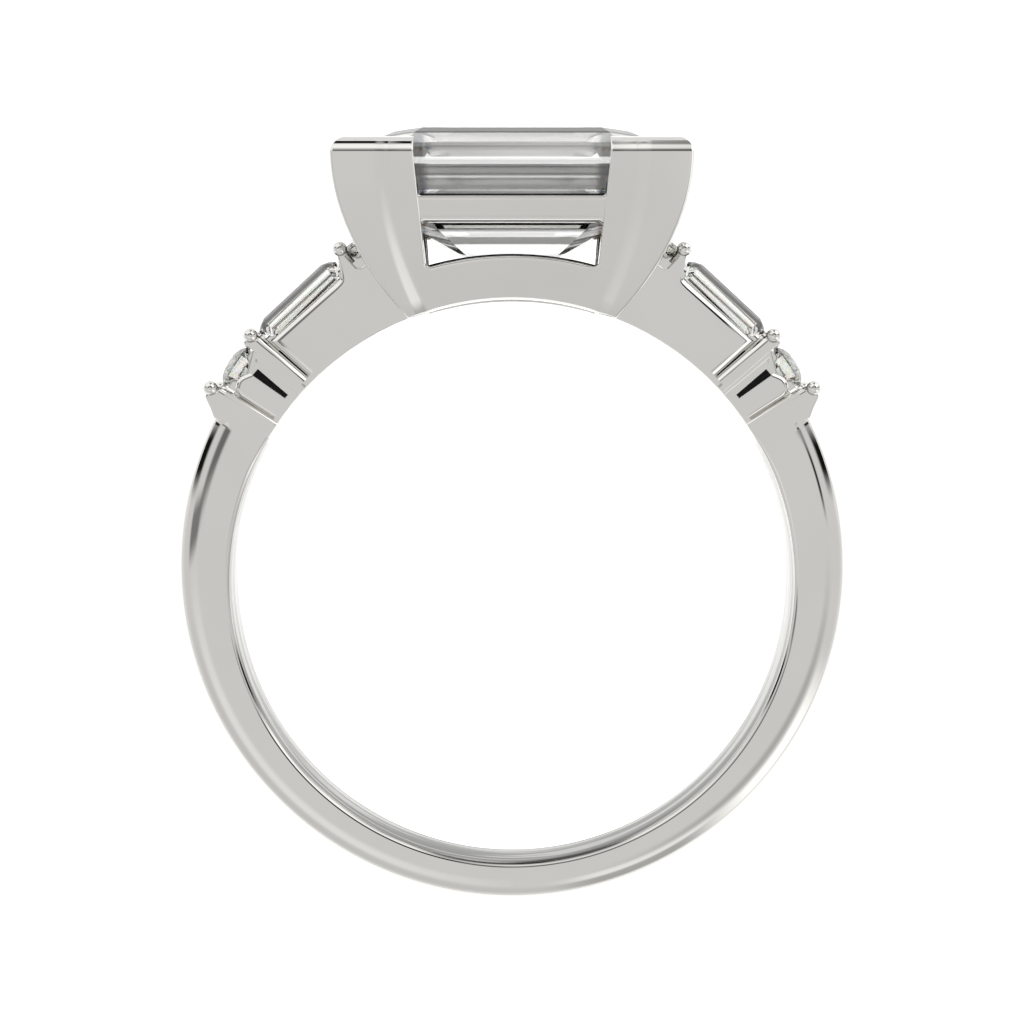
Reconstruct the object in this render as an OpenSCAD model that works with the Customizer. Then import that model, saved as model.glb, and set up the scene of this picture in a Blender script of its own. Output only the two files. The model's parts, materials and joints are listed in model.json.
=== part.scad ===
// Seven-stone ring: an emerald-cut centre stone held between two half bezels, with a round, a
// baguette and a round on each shoulder. The ring lies on its side: X runs across the band,
// Y runs towards the centre stone and Z is up. Millimetres.

/* [Band] */
// Diameter of the finger hole
bore_d = 16.5; // [15.5:0.1:18]
// Width of the band along the finger
band_w = 2.0; // [1.8:0.1:2.4]
// Thickness of the band opposite the centre stone
band_t = 1.15; // [1:0.05:1.4]
// How much thicker the band is at its sides
band_grow = 0.4; // [0.2:0.05:0.6]
// Radius on the inner edges of the band
inner_r = 0.3; // [0.1:0.05:0.4]
// Radius on the outer edges of the band
outer_r = 0.4; // [0.2:0.05:0.5]

/* [Centre setting] */
// Half length of the half bezels at the rim
rim_l = 5.22; // [5.1:0.02:5.4]
// Half depth of the half bezels at the rim
rim_w = 3.6; // [3.5:0.02:3.8]
// Height of the rim above the middle of the finger hole
rim_h = 12.75; // [12.65:0.05:12.85]
// Radius of the rounded rim
rim_r = 0.38; // [0.3:0.02:0.4]
// Corner cut of the bezel at the rim
rim_cut = 1.51; // [1.3:0.02:1.7]
// Half depth of the setting at the finger hole
base_w = 1.4; // [1.2:0.05:1.6]
// How fast the bezel ends curve in towards the finger
end_curve = 0.105; // [0.095:0.005:0.11]
// How fast the bezel corners curve in towards the finger
corner_curve = 0.05; // [0.045:0.005:0.055]
// Thickness of the arch under the window
arch_t = 1.2; // [1:0.05:1.25]
// Height of the lower edge of the gallery rail
rail_low = 10.37; // [10.2:0.05:10.5]
// Height of the upper edge of the gallery rail
rail_high = 11.11; // [11:0.05:11.2]
// Half depth of the gallery rail
rail_w = 2.78; // [2.72:0.02:2.85]
// Half width of the opening between the half bezels at the rim
open_w = 2.82; // [2.6:0.02:2.95]
// Slope of the sides of the opening
open_slope = 0.09; // [0.05:0.01:0.12]

/* [Centre stone] */
// Half length of the emerald cut
stone_l = 4.45; // [4.4:0.01:4.48]
// Half width of the emerald cut
stone_w = 3.25; // [3.2:0.01:3.27]
// Corner cut of the emerald cut at its girdle
stone_cut = 1.24; // [1.1:0.02:1.3]
// Height of the table above the middle of the finger hole
table_h = 13.1; // [13:0.05:13.2]

/* [Shoulder stones] */
// Length of each baguette
baguette_l = 3.05; // [2.9:0.01:3.1]
// Width of each baguette
baguette_w = 1.56; // [1.4:0.02:1.6]
// Diameter of each outer round
outer_round_d = 1.4; // [1.3:0.02:1.46]
// Diameter of each inner round
inner_round_d = 1.0; // [0.9:0.02:1.04]
// Gap between each stone and its seat
seat_gap = 0.03; // [0.02:0.01:0.05]

/* [Shoulders] */
// Width of the shoulders behind the prongs
core_w = 1.6; // [1.5:0.05:1.7]
// Width over the raised shoulder plates
plate_w = 2.0; // [1.9:0.05:2.1]
// Diameter of the prongs and their tips
prong_d = 0.35; // [0.3:0.01:0.36]
// Distance of each prong from the middle of the band
prong_n = 0.84; // [0.8:0.01:0.86]

/* [Hidden] */
metal = "lightgray";
gem = "aliceblue";

bore_r = bore_d / 2;
half_band = band_w / 2;
// The outside of the band is a circle set off towards the centre stone
band_off = band_grow + band_grow * band_grow / (2 * (bore_r + band_t));
band_r = bore_r + band_t + band_off;
roll_h = rim_h - rim_r;
flare = (rim_w - base_w) / (roll_h - bore_r);
curve_h = 12.1;
rim_corner = rim_l - rim_cut;
// An octagon moved in by d has its corner cut shorter by this share of d
cut_share = 2 - sqrt(2);
arch_r = bore_r + arch_t;
below_bore = bore_r - 0.85;
far = 16;

// Heights of the centre stone, down from its table
girdle_top = table_h - 0.99;
girdle_low = table_h - 1.16;
keel_h = table_h - 3.64;

// Columns of each stone section: height, how far the sides are in from the girdle, corner cut
CENTRE_SECTIONS = [
    [keel_h,            3.2,  0.03],
    [girdle_low - 1.71, 1.75, 0.55],
    [girdle_low - 0.83, 0.7,  0.95],
    [girdle_low,        0,    stone_cut],
    [girdle_top,        0,    stone_cut],
    [table_h - 0.54,    0.3,  1.12],
    [table_h - 0.17,    0.7,  1.0],
    [table_h,           1.05, 0.85]
];
BAGUETTE_SECTIONS = [
    [-0.88, 0.74, 0.01],
    [-0.64, 0.48, 0.04],
    [-0.34, 0.22, 0.07],
    [-0.03, 0,    0.1],
    [0.03,  0,    0.1],
    [0.17,  0.16, 0.08],
    [0.27,  0.34, 0.06]
];

// Columns of each shoulder stone: place across, place up, lean of its axis from upright
BAGUETTE = [6.30, 8.30, 42.9];
ROUND_INNER = [4.60, 9.87, 33.5];
ROUND_OUTER = [8.19, 6.29, 57.7];
// Columns of each prong: place of the tip across, up, lean, length down to the band
PRONGS = [
    [5.10, 9.75, 33.5, 1.1],
    [7.66, 7.15, 48.8, 2.0],
    [8.87, 5.70, 61.0, 2.0]
];
// How far the cross bars and the seats lie below the tips and the girdles
bar_drop = 0.32;
baguette_seat = 0.4;
round_seat = 0.42;
// Proportions of a brilliant, as shares of its diameter
table_share = 0.56;
star_share = 0.78;
low_share = 0.25;
crown_share = 0.15;
girdle_share = 0.03;
pavilion_share = 0.43;

function octagon(l, w, c) = [
    [l - c, w], [c - l, w], [-l, w - c], [-l, c - w], [c - l, -w], [l - c, -w], [l, c - w], [l, w - c]
];
function at_height(outline, h) = [for (p = outline) [p[0], p[1], h]];
function joined(rows) = [for (row = rows) each row];
// Side faces of a loft through rows of n points, with a flat cap at each end
function loft_faces(rows, n) = concat(
    [[for (i = [0:n - 1]) i]],
    [for (r = [0:rows - 2], i = [0:n - 1]) [r * n + i, (r + 1) * n + i, r * n + (i + 1) % n]],
    [for (r = [0:rows - 2], i = [0:n - 1])
        [r * n + (i + 1) % n, (r + 1) * n + i, (r + 1) * n + (i + 1) % n]],
    [[for (i = [n - 1:-1:0]) (rows - 1) * n + i]]
);
function end_at(h) = rim_l - end_curve * pow(max(0, curve_h - h), 2);
function corner_at(h) = rim_corner - corner_curve * pow(max(0, curve_h - h), 2);
function depth_at(h) = base_w + flare * (h - bore_r);
function opening_at(h) = open_w - open_slope * (rim_h - h);
function dir(lean) = [-sin(lean), cos(lean)];
function along(lean) = [cos(lean), sin(lean)];
// A point of the left shoulder: a stone's or prong's place, moved up its lean and along the band
function spot(s, up, side) = [-s[0], s[1]] + up * dir(s[2]) + side * along(s[2]);

// The ring tips down until the rims and the far edge of the band touch the floor
rim_centre = [roll_h, rim_w - rim_r];
edge_centre = [-(bore_r + band_t - outer_r), half_band - outer_r];
reach = rim_centre - edge_centre;
tip = atan2(reach[1], reach[0]) + asin((rim_r - outer_r) / norm(reach));
floor_z = rim_centre[1] * cos(tip) - rim_centre[0] * sin(tip) + rim_r;
// The middle of the box along Y, between the table's far edge and the band's lowest edge
table_y = table_h * cos(tip) + (stone_w - 1.05) * sin(tip);
band_y = -band_r + band_off * cos(tip) - (half_band - outer_r) * sin(tip);
mid_y = (table_y + band_y) / 2;

// Sets what is built about the finger's axis down on the floor
module lying() {
    translate([0, -mid_y, floor_z]) rotate([tip, 0, 0]) children();
}

module loft(rows) {
    polyhedron(points = joined(rows), faces = loft_faces(len(rows), len(rows[0])), convexity = 4);
}

// Turns a shape built along +Z, with X along the band, to a place on the left shoulder
module set_on(s) {
    translate([-s[0], s[1], 0]) rotate([0, 0, s[2]]) rotate([-90, 0, 0]) mirror([0, 1, 0]) children();
}

module on_side(side) {
    if (side < 0) children();
    else mirror([1, 0, 0]) children();
}

module band() {
    difference() {
        translate([0, band_off, 0]) rotate_extrude($fn = 180) band_section();
        rotate_extrude($fn = 180) inner_edges();
        above_shoulders();
    }
}

module band_section() {
    translate([0, -half_band]) square([band_r - outer_r, band_w]);
    translate([0, outer_r - half_band]) square([band_r, band_w - 2 * outer_r]);
    for (s = [-1, 1]) {
        translate([band_r - outer_r, s * (half_band - outer_r)]) circle(outer_r, $fn = 32);
    }
}

// What is taken off to round the inner edges
module inner_edges() {
    for (s = [0, 1]) mirror([0, s]) difference() {
        translate([bore_r - 1, half_band - inner_r]) square([inner_r + 1, 1]);
        translate([bore_r + inner_r, half_band - inner_r]) circle(inner_r, $fn = 32);
    }
}

// The space over the outer prongs, where the shoulders take over from the band
module above_shoulders() {
    p = PRONGS[2];
    hub_h = p[1] - p[0] / tan(p[2]);
    side = far / 2 / tan(p[2]);
    linear_extrude(height = 4, center = true) polygon([
        [0, hub_h], [far / 2, hub_h + side], [far, hub_h + 2 * side], [far, far], [-far, far],
        [-far, hub_h + 2 * side], [-far / 2, hub_h + side]
    ]);
}

// The left shoulder behind its plates, from the bezel to the outer prongs
module shoulder_core() {
    tail = PRONGS[2];
    linear_extrude(height = core_w, center = true) polygon([
        [-3.2, 9.0],
        spot(ROUND_INNER, -round_seat, 0.35),
        spot(ROUND_INNER, -round_seat, -0.5),
        spot(BAGUETTE, -baguette_seat, baguette_l / 2),
        spot(BAGUETTE, -baguette_seat, -baguette_l / 2),
        spot(ROUND_OUTER, -round_seat, 0.65),
        spot(ROUND_OUTER, -round_seat, -0.65),
        spot(tail, -0.25, -0.1),
        spot(tail, -0.95, -0.5),
        [-6.9, 3.2],
        [-2.6, 7.35]
    ]);
    for (p = PRONGS) cross_bar(p);
}

module cross_bar(p) {
    set_on(p) translate([-prong_d / 2, -core_w / 2, -p[3] - bar_drop])
        cube([prong_d, core_w, p[3]]);
}

// The raised flat plates under the baguette and under the outer round
module plates() {
    low = PRONGS[1];
    end = PRONGS[2];
    side_b = 0.42;
    linear_extrude(height = plate_w, center = true) {
        polygon([
            [-3.2, 8.8],
            spot(PRONGS[0], -0.6, 0.35),
            spot(PRONGS[0], -0.2, 0.12),
            spot(PRONGS[0], -0.15, -0.12),
            spot(BAGUETTE, -baguette_seat, baguette_l / 2),
            spot(BAGUETTE, -baguette_seat, 0.55 - baguette_l / 2),
            spot(low, -0.8, side_b),
            spot(low, -2.2, side_b),
            [-2.6, 7.35]
        ]);
        polygon([
            spot(low, -0.75, -0.32),
            spot(ROUND_OUTER, -0.5, 0.2),
            spot(ROUND_OUTER, -0.5, -0.25),
            spot(end, -0.7, 0.38),
            spot(end, -2.4, 0.38),
            spot(low, -2.6, -0.32)
        ]);
    }
}

module prong(p) {
    for (s = [-1, 1]) set_on(p) translate([0, s * prong_n, 0]) {
        translate([0, 0, -p[3]]) cylinder(d = prong_d, h = p[3], $fn = 32);
        sphere(d = prong_d, $fn = 32);
    }
}

module shoulder() {
    shoulder_core();
    plates();
    for (p = PRONGS) prong(p);
}

// The bezel's outside, from inside the finger hole up over the rounded rim
module bezel_outside() {
    levels = [for (k = [0:6]) below_bore + (roll_h - below_bore) * k / 6];
    sides = [for (h = levels) standing(octagon(end_at(h), depth_at(h), end_at(h) - corner_at(h)), h)];
    roll = [for (a = [22.5:22.5:90]) rim_row(rim_r * (1 - cos(a)), roll_h + rim_r * sin(a))];
    loft(concat(sides, roll));
}

function standing(outline, h) = [for (p = outline) [p[0], h, -p[1]]];
function rim_row(d, h) = standing(octagon(rim_l - d, rim_w - d, rim_cut - cut_share * d), h);

// What is taken out inside the rounded rim
module rim_inside() {
    roll = [for (a = [0:22.5:90]) rim_row(rim_r * (1 + cos(a)), roll_h + rim_r * sin(a))];
    loft(concat(roll, [rim_row(rim_r, far)]));
}

// The openings across the setting: over the rail, and the window between rail and arch
module openings() {
    linear_extrude(height = 10, center = true) {
        trapezoid(rail_high, far);
        difference() {
            trapezoid(bore_r, rail_low);
            circle(arch_r, $fn = 180);
        }
    }
    for (s = [-1, 1]) translate([0, 0, s * (rail_w + 1)])
        linear_extrude(height = 2, center = true) trapezoid(rail_low - 0.2, rail_high + 0.1);
}

module trapezoid(low, high) {
    polygon([
        [-opening_at(low), low], [opening_at(low), low], [opening_at(high), high], [-opening_at(high), high]
    ]);
}

module centre_setting() {
    difference() {
        bezel_outside();
        rim_inside();
        openings();
        emerald(seat_gap);
    }
}

// The centre stone, grown on all sides by gap where it cuts its seat
module emerald(gap) {
    rows = [for (s = CENTRE_SECTIONS) standing(
        octagon(stone_l - s[1] + gap, stone_w - s[1] + gap, s[2]),
        s[0] + gap * (s[0] == keel_h ? -1 : (s[0] > girdle_low ? 1 : 0))
    )];
    loft(rows);
}

module baguette(gap) {
    loft([for (s = BAGUETTE_SECTIONS) at_height(
        octagon(baguette_l / 2 - s[1] + gap, baguette_w / 2 - s[1] + gap, s[2]),
        s[0] + gap * sign(s[0])
    )]);
}

// A brilliant of diameter d with its girdle at height 0 and its table up
module brilliant(d) {
    r = d / 2;
    g = d * girdle_share / 2;
    crown_slope = crown_share / (0.5 - table_share / 2);
    low_slope = pavilion_share / 0.5;
    star_z = g + (r - r * star_share * cos(22.5)) * crown_slope;
    low_z = -g - (r - r * low_share * cos(22.5)) * low_slope;
    points = concat(
        [for (k = [0:7]) polar(r * table_share, 45 * k, g + d * crown_share)],
        [for (k = [0:7]) polar(r * star_share, 45 * k + 22.5, star_z)],
        [for (k = [0:15]) polar(r, 22.5 * k, g)],
        [for (k = [0:15]) polar(r, 22.5 * k, -g)],
        [for (k = [0:7]) polar(r * low_share, 45 * k + 22.5, low_z)],
        [[0, 0, -g - d * pavilion_share]]
    );
    star = 8;
    top = 16;
    low = 32;
    keel = 48;
    culet = 56;
    faces = concat(
        [[for (k = [7:-1:0]) k]],
        [for (k = [0:7]) [k, (k + 1) % 8, star + k]],
        [for (k = [0:7]) [k, top + 2 * k, star + (k + 7) % 8]],
        [for (k = [0:7]) [k, star + k, top + 2 * k]],
        [for (k = [0:7]) [star + k, top + 2 * k + 1, top + 2 * k]],
        [for (k = [0:7]) [star + k, top + (2 * k + 2) % 16, top + 2 * k + 1]],
        [for (k = [0:15]) [top + k, low + (k + 1) % 16, low + k]],
        [for (k = [0:15]) [top + k, top + (k + 1) % 16, low + (k + 1) % 16]],
        [for (k = [0:7]) [keel + k, low + 2 * k, low + 2 * k + 1]],
        [for (k = [0:7]) [keel + k, low + 2 * k + 1, low + (2 * k + 2) % 16]],
        [for (k = [0:7]) [keel + k, culet, low + 2 * k]],
        [for (k = [0:7]) [keel + (k + 7) % 8, low + 2 * k, culet]]
    );
    polyhedron(points = points, faces = faces, convexity = 2);
}

function polar(r, a, z) = [r * cos(a), r * sin(a), z];

// The room that a brilliant needs in the metal
module brilliant_room(d) {
    r = d / 2 + seat_gap;
    deep = d * pavilion_share + 2 * seat_gap;
    g = d * girdle_share / 2 + seat_gap;
    rise = d * crown_share + seat_gap;
    translate([0, 0, -g - deep]) cylinder(r1 = 0.02, r2 = r, h = deep, $fn = 48);
    translate([0, 0, -g]) cylinder(r = r, h = 2 * g, $fn = 48);
    translate([0, 0, g]) cylinder(r1 = r, r2 = r * table_share + 0.1, h = rise, $fn = 48);
}

module ring_metal() {
    color(metal) lying() difference() {
        union() {
            band();
            for (side = [-1, 1]) on_side(side) shoulder();
            centre_setting();
        }
        cylinder(r = bore_r, h = 10, center = true, $fn = 180);
        for (side = [-1, 1]) on_side(side) {
            set_on(BAGUETTE) baguette(seat_gap);
            set_on(ROUND_INNER) brilliant_room(inner_round_d);
            set_on(ROUND_OUTER) brilliant_room(outer_round_d);
        }
    }
}

module centre_stone() {
    color(gem) lying() emerald(0);
}

module shoulder_baguette(side) {
    color(gem) lying() on_side(side) set_on(BAGUETTE) baguette(0);
}

module shoulder_round(side, s, d) {
    color(gem) lying() on_side(side) set_on(s) brilliant(d);
}

ring_metal();
centre_stone();
shoulder_baguette(-1);  // baguette_left
shoulder_baguette(1);  // baguette_right
shoulder_round(-1, ROUND_INNER, inner_round_d);  // round_inner_left
shoulder_round(1, ROUND_INNER, inner_round_d);  // round_inner_right
shoulder_round(-1, ROUND_OUTER, outer_round_d);  // round_outer_left
shoulder_round(1, ROUND_OUTER, outer_round_d);  // round_outer_right
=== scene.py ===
"""Dresses a seven-stone ring: polished white gold, clear cut stones, a pale floor and soft light.

The ring's own frame has X across the band, Y towards the centre stone and Z along the finger,
with its origin in the middle of the finger hole. Sizes here are in millimetres in that frame.
"""

import json
import logging
import math
from collections.abc import Callable
from dataclasses import dataclass
from enum import Enum

import bmesh
import bpy
from mathutils import Matrix, Vector


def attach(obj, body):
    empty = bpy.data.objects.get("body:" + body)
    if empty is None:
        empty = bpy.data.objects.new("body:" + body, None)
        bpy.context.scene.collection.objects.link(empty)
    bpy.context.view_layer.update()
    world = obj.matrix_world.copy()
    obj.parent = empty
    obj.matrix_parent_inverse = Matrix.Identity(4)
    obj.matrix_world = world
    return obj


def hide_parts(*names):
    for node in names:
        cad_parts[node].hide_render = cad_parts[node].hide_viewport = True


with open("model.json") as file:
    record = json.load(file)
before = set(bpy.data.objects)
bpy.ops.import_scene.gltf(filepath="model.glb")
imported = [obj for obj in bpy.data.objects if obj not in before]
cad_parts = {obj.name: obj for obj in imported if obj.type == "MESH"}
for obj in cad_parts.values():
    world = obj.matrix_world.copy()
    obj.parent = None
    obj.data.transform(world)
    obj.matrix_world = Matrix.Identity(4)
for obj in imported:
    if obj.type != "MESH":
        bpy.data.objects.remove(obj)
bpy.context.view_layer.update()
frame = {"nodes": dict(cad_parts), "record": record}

log = logging.getLogger("ring")

MM = 0.001
# Points nearer to each other than this, in millimetres, are one point.
SAME = 1e-5
# Two edges that turn by less than this sine count as one straight line.
STRAIGHT_ON = 0.03
# How far past a limit a point may lie and still count as within it, in millimetres.
SLACK = 0.005
# Edges that turn by more than this, in degrees, stay sharp.
SHARP = 32.0
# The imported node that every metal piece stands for.
METAL = "ring_metal"
WHITE = (1.0, 1.0, 1.0, 1.0)
Flat = tuple[float, float]
Point = tuple[float, float, float]
Stops = tuple[Flat, ...]
Lay = Callable[[float, float, float], Point]
Socket = bpy.types.NodeSocket


class Side(Enum):
    """The two sides of the ring as the camera sees them."""

    LEFT = -1
    RIGHT = 1

    @property
    def word(self) -> str:
        """The side's name as it stands in a piece's name."""
        return self.name.lower()


class Blend(Enum):
    """How one colour goes over another."""

    MIX = 1
    MULTIPLY = 2


@dataclass(frozen=True)
class Corner:
    """A corner of an outline, and the edge that runs on from it counterclockwise.

    Args:
        x: place across.
        y: place up.
        bend: radius of the corner in the outline's plane.
        roll: radius that rounds the edge from the front face to the side.
    """

    x: float
    y: float
    bend: float = 0.0
    roll: float = 0.0


@dataclass(frozen=True)
class Spot:
    """A place on the left shoulder that a stone or a prong is set at.

    Args:
        x: place across, counted away from the middle.
        y: place up.
        lean: angle of its axis from upright, in degrees.
    """

    x: float
    y: float
    lean: float

    def at(self, up: float, side: float) -> Flat:
        """A point moved away from here.

        Args:
            up: how far up the lean.
            side: how far along the band, towards the centre stone.

        Returns:
            The point across and up, on the left of the ring.
        """
        a = math.radians(self.lean)
        return (
            -self.x - up * math.sin(a) + side * math.cos(a),
            self.y + up * math.cos(a) + side * math.sin(a),
        )

    def corner(self, up: float, side: float, bend: float = 0.0, roll: float = 0.0) -> Corner:
        """The same point as a corner of an outline."""
        return Corner(*self.at(up, side), bend, roll)


def rounded(corners: list[Corner], step: float = 9.0) -> list[Corner]:
    """Replaces each bent corner by a row of short edges.

    Args:
        corners: the outline, counterclockwise.
        step: how far one short edge turns, in degrees.

    Returns:
        The outline with its bends drawn out.
    """
    done: list[Corner] = []
    for i, c in enumerate(corners):
        if c.bend <= 0:
            done.append(c)
            continue
        before, after = corners[i - 1], corners[(i + 1) % len(corners)]
        here = Vector((c.x, c.y))
        back = (Vector((before.x, before.y)) - here).normalized()
        on = (Vector((after.x, after.y)) - here).normalized()
        opening = back.angle(on)
        centre = here + (back + on).normalized() * (c.bend / math.sin(opening / 2))
        arm = here + back * (c.bend / math.tan(opening / 2)) - centre
        turn = math.pi - opening
        if back.x * on.y - back.y * on.x > 0:
            turn = -turn
        count = max(2, math.ceil(math.degrees(abs(turn)) / step))
        for k in range(count + 1):
            a = turn * k / count
            x = centre.x + arm.x * math.cos(a) - arm.y * math.sin(a)
            y = centre.y + arm.x * math.sin(a) + arm.y * math.cos(a)
            done.append(Corner(x, y, 0.0, before.roll + (c.roll - before.roll) * k / count))
    return done


def quarter(steps: int) -> list[float]:
    """Angles of a quarter turn, in radians."""
    return [math.pi / 2 * k / steps for k in range(steps + 1)]


def arc(radius: float, start: float, stop: float, roll: float, count: int = 24) -> list[Corner]:
    """Corners along a circle about the finger's axis, between two angles in degrees from +X."""
    angles = [math.radians(start + (stop - start) * k / count) for k in range(count + 1)]
    return [Corner(radius * math.cos(a), radius * math.sin(a), 0.0, roll) for a in angles]


def inset(outline: list[Corner], amount: Callable[[float], float]) -> list[Flat]:
    """Moves each edge of an outline inwards by an amount that depends on its roll.

    Args:
        outline: corners, counterclockwise.
        amount: gives the distance for an edge's roll.

    Returns:
        The moved corners.
    """
    moved: list[Flat] = []
    count = len(outline)
    for i, c in enumerate(outline):
        before, after = outline[i - 1], outline[(i + 1) % count]
        d0 = Vector((c.x - before.x, c.y - before.y)).normalized()
        d1 = Vector((after.x - c.x, after.y - c.y)).normalized()
        a0, a1 = amount(before.roll), amount(c.roll)
        turn = d0.x * d1.y - d0.y * d1.x
        if abs(turn) < STRAIGHT_ON:
            away = (a0 + a1) / 2
            moved.append((c.x - d0.y * away, c.y + d0.x * away))
            continue
        x = (a0 * d1.x - a1 * d0.x) / turn
        y = (a0 * d1.y - a1 * d0.y) / turn
        moved.append((c.x + x, c.y + y))
    return moved


class Shell:
    """A closed mesh under way, in the ring's own millimetres."""

    def __init__(self) -> None:
        """Starts with nothing in it."""
        self.points: list[Point] = []
        self.faces: list[list[int]] = []

    def loft(self, rows: list[list[Point]], looped: bool = True) -> "Shell":
        """Skins rows of points and closes both ends.

        Args:
            rows: rings of points, all of one length.
            looped: whether the last point of a row joins the first.

        Returns:
            The shell itself.
        """
        start, width = len(self.points), len(rows[0])
        for row in rows:
            self.points.extend(row)
        for r in range(len(rows) - 1):
            for i in range(width if looped else width - 1):
                j = (i + 1) % width
                a, b = start + r * width, start + (r + 1) * width
                self.faces.append([a + i, a + j, b + j, b + i])
        last = start + (len(rows) - 1) * width
        self.faces.append([start + i for i in reversed(range(width))])
        self.faces.append([last + i for i in range(width)])
        return self

    def mirrored(self) -> "Shell":
        """Makes the same shell for the other side of the ring.

        Returns:
            The mirror image, with its faces still looking outwards.
        """
        other = Shell()
        other.points = [(-x, y, z) for x, y, z in self.points]
        other.faces = [list(reversed(face)) for face in self.faces]
        return other


@dataclass(frozen=True)
class Slab:
    """A flat piece of metal with rounded edges.

    Args:
        corners: its outline, counterclockwise.
        front: place along the finger of its front face.
        back: place along the finger of its back face.
        steps: how many steps a rounded edge has.
        margin: how far the narrow ring of faces round each flat face reaches past the roll.
    """

    corners: list[Corner]
    front: float
    back: float
    steps: int = 7
    margin: float = 0.02

    def shell(self, lay_front: Lay | None = None, lay_back: Lay | None = None) -> Shell:
        """Builds it through outlines that shrink towards both faces.

        Args:
            lay_front: gives the place of a point across, up and below the front face.
            lay_back: the same for the back face.

        Returns:
            The slab as a shell.
        """
        outline = rounded(self.corners)
        rolls = sorted({round(c.roll, 4) for c in outline if c.roll > 0})
        depths = {0.0}
        for roll in rolls:
            for k in range(1, self.steps + 1):
                depths.add(round(roll * (1 - math.cos(math.pi / 2 * k / self.steps)), 5))
        front = lay_front or (lambda x, y, z: (x, y, self.front - z))
        back = lay_back or (lambda x, y, z: (x, y, self.back + z))
        layers = [(0.0, inset(outline, lambda roll: roll + self.margin))]
        layers += [(z, inset(outline, lambda roll, z=z: eaten(roll, z))) for z in sorted(depths)]
        layers.append((max(depths) + self.margin, inset(outline, lambda roll: 0.0)))
        rows = [[front(x, y, z) for x, y in flat] for z, flat in layers]
        rows += [[back(x, y, z) for x, y in flat] for z, flat in reversed(layers)]
        return Shell().loft(rows)


def eaten(roll: float, depth: float) -> float:
    """How far a rounded edge lies in from the outline at a depth below the face.

    Args:
        roll: the edge's radius.
        depth: the depth below the face.

    Returns:
        The distance in.
    """
    if depth >= roll:
        return 0.0
    return roll - math.sqrt(max(0.0, roll * roll - (roll - depth) ** 2))


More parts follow.
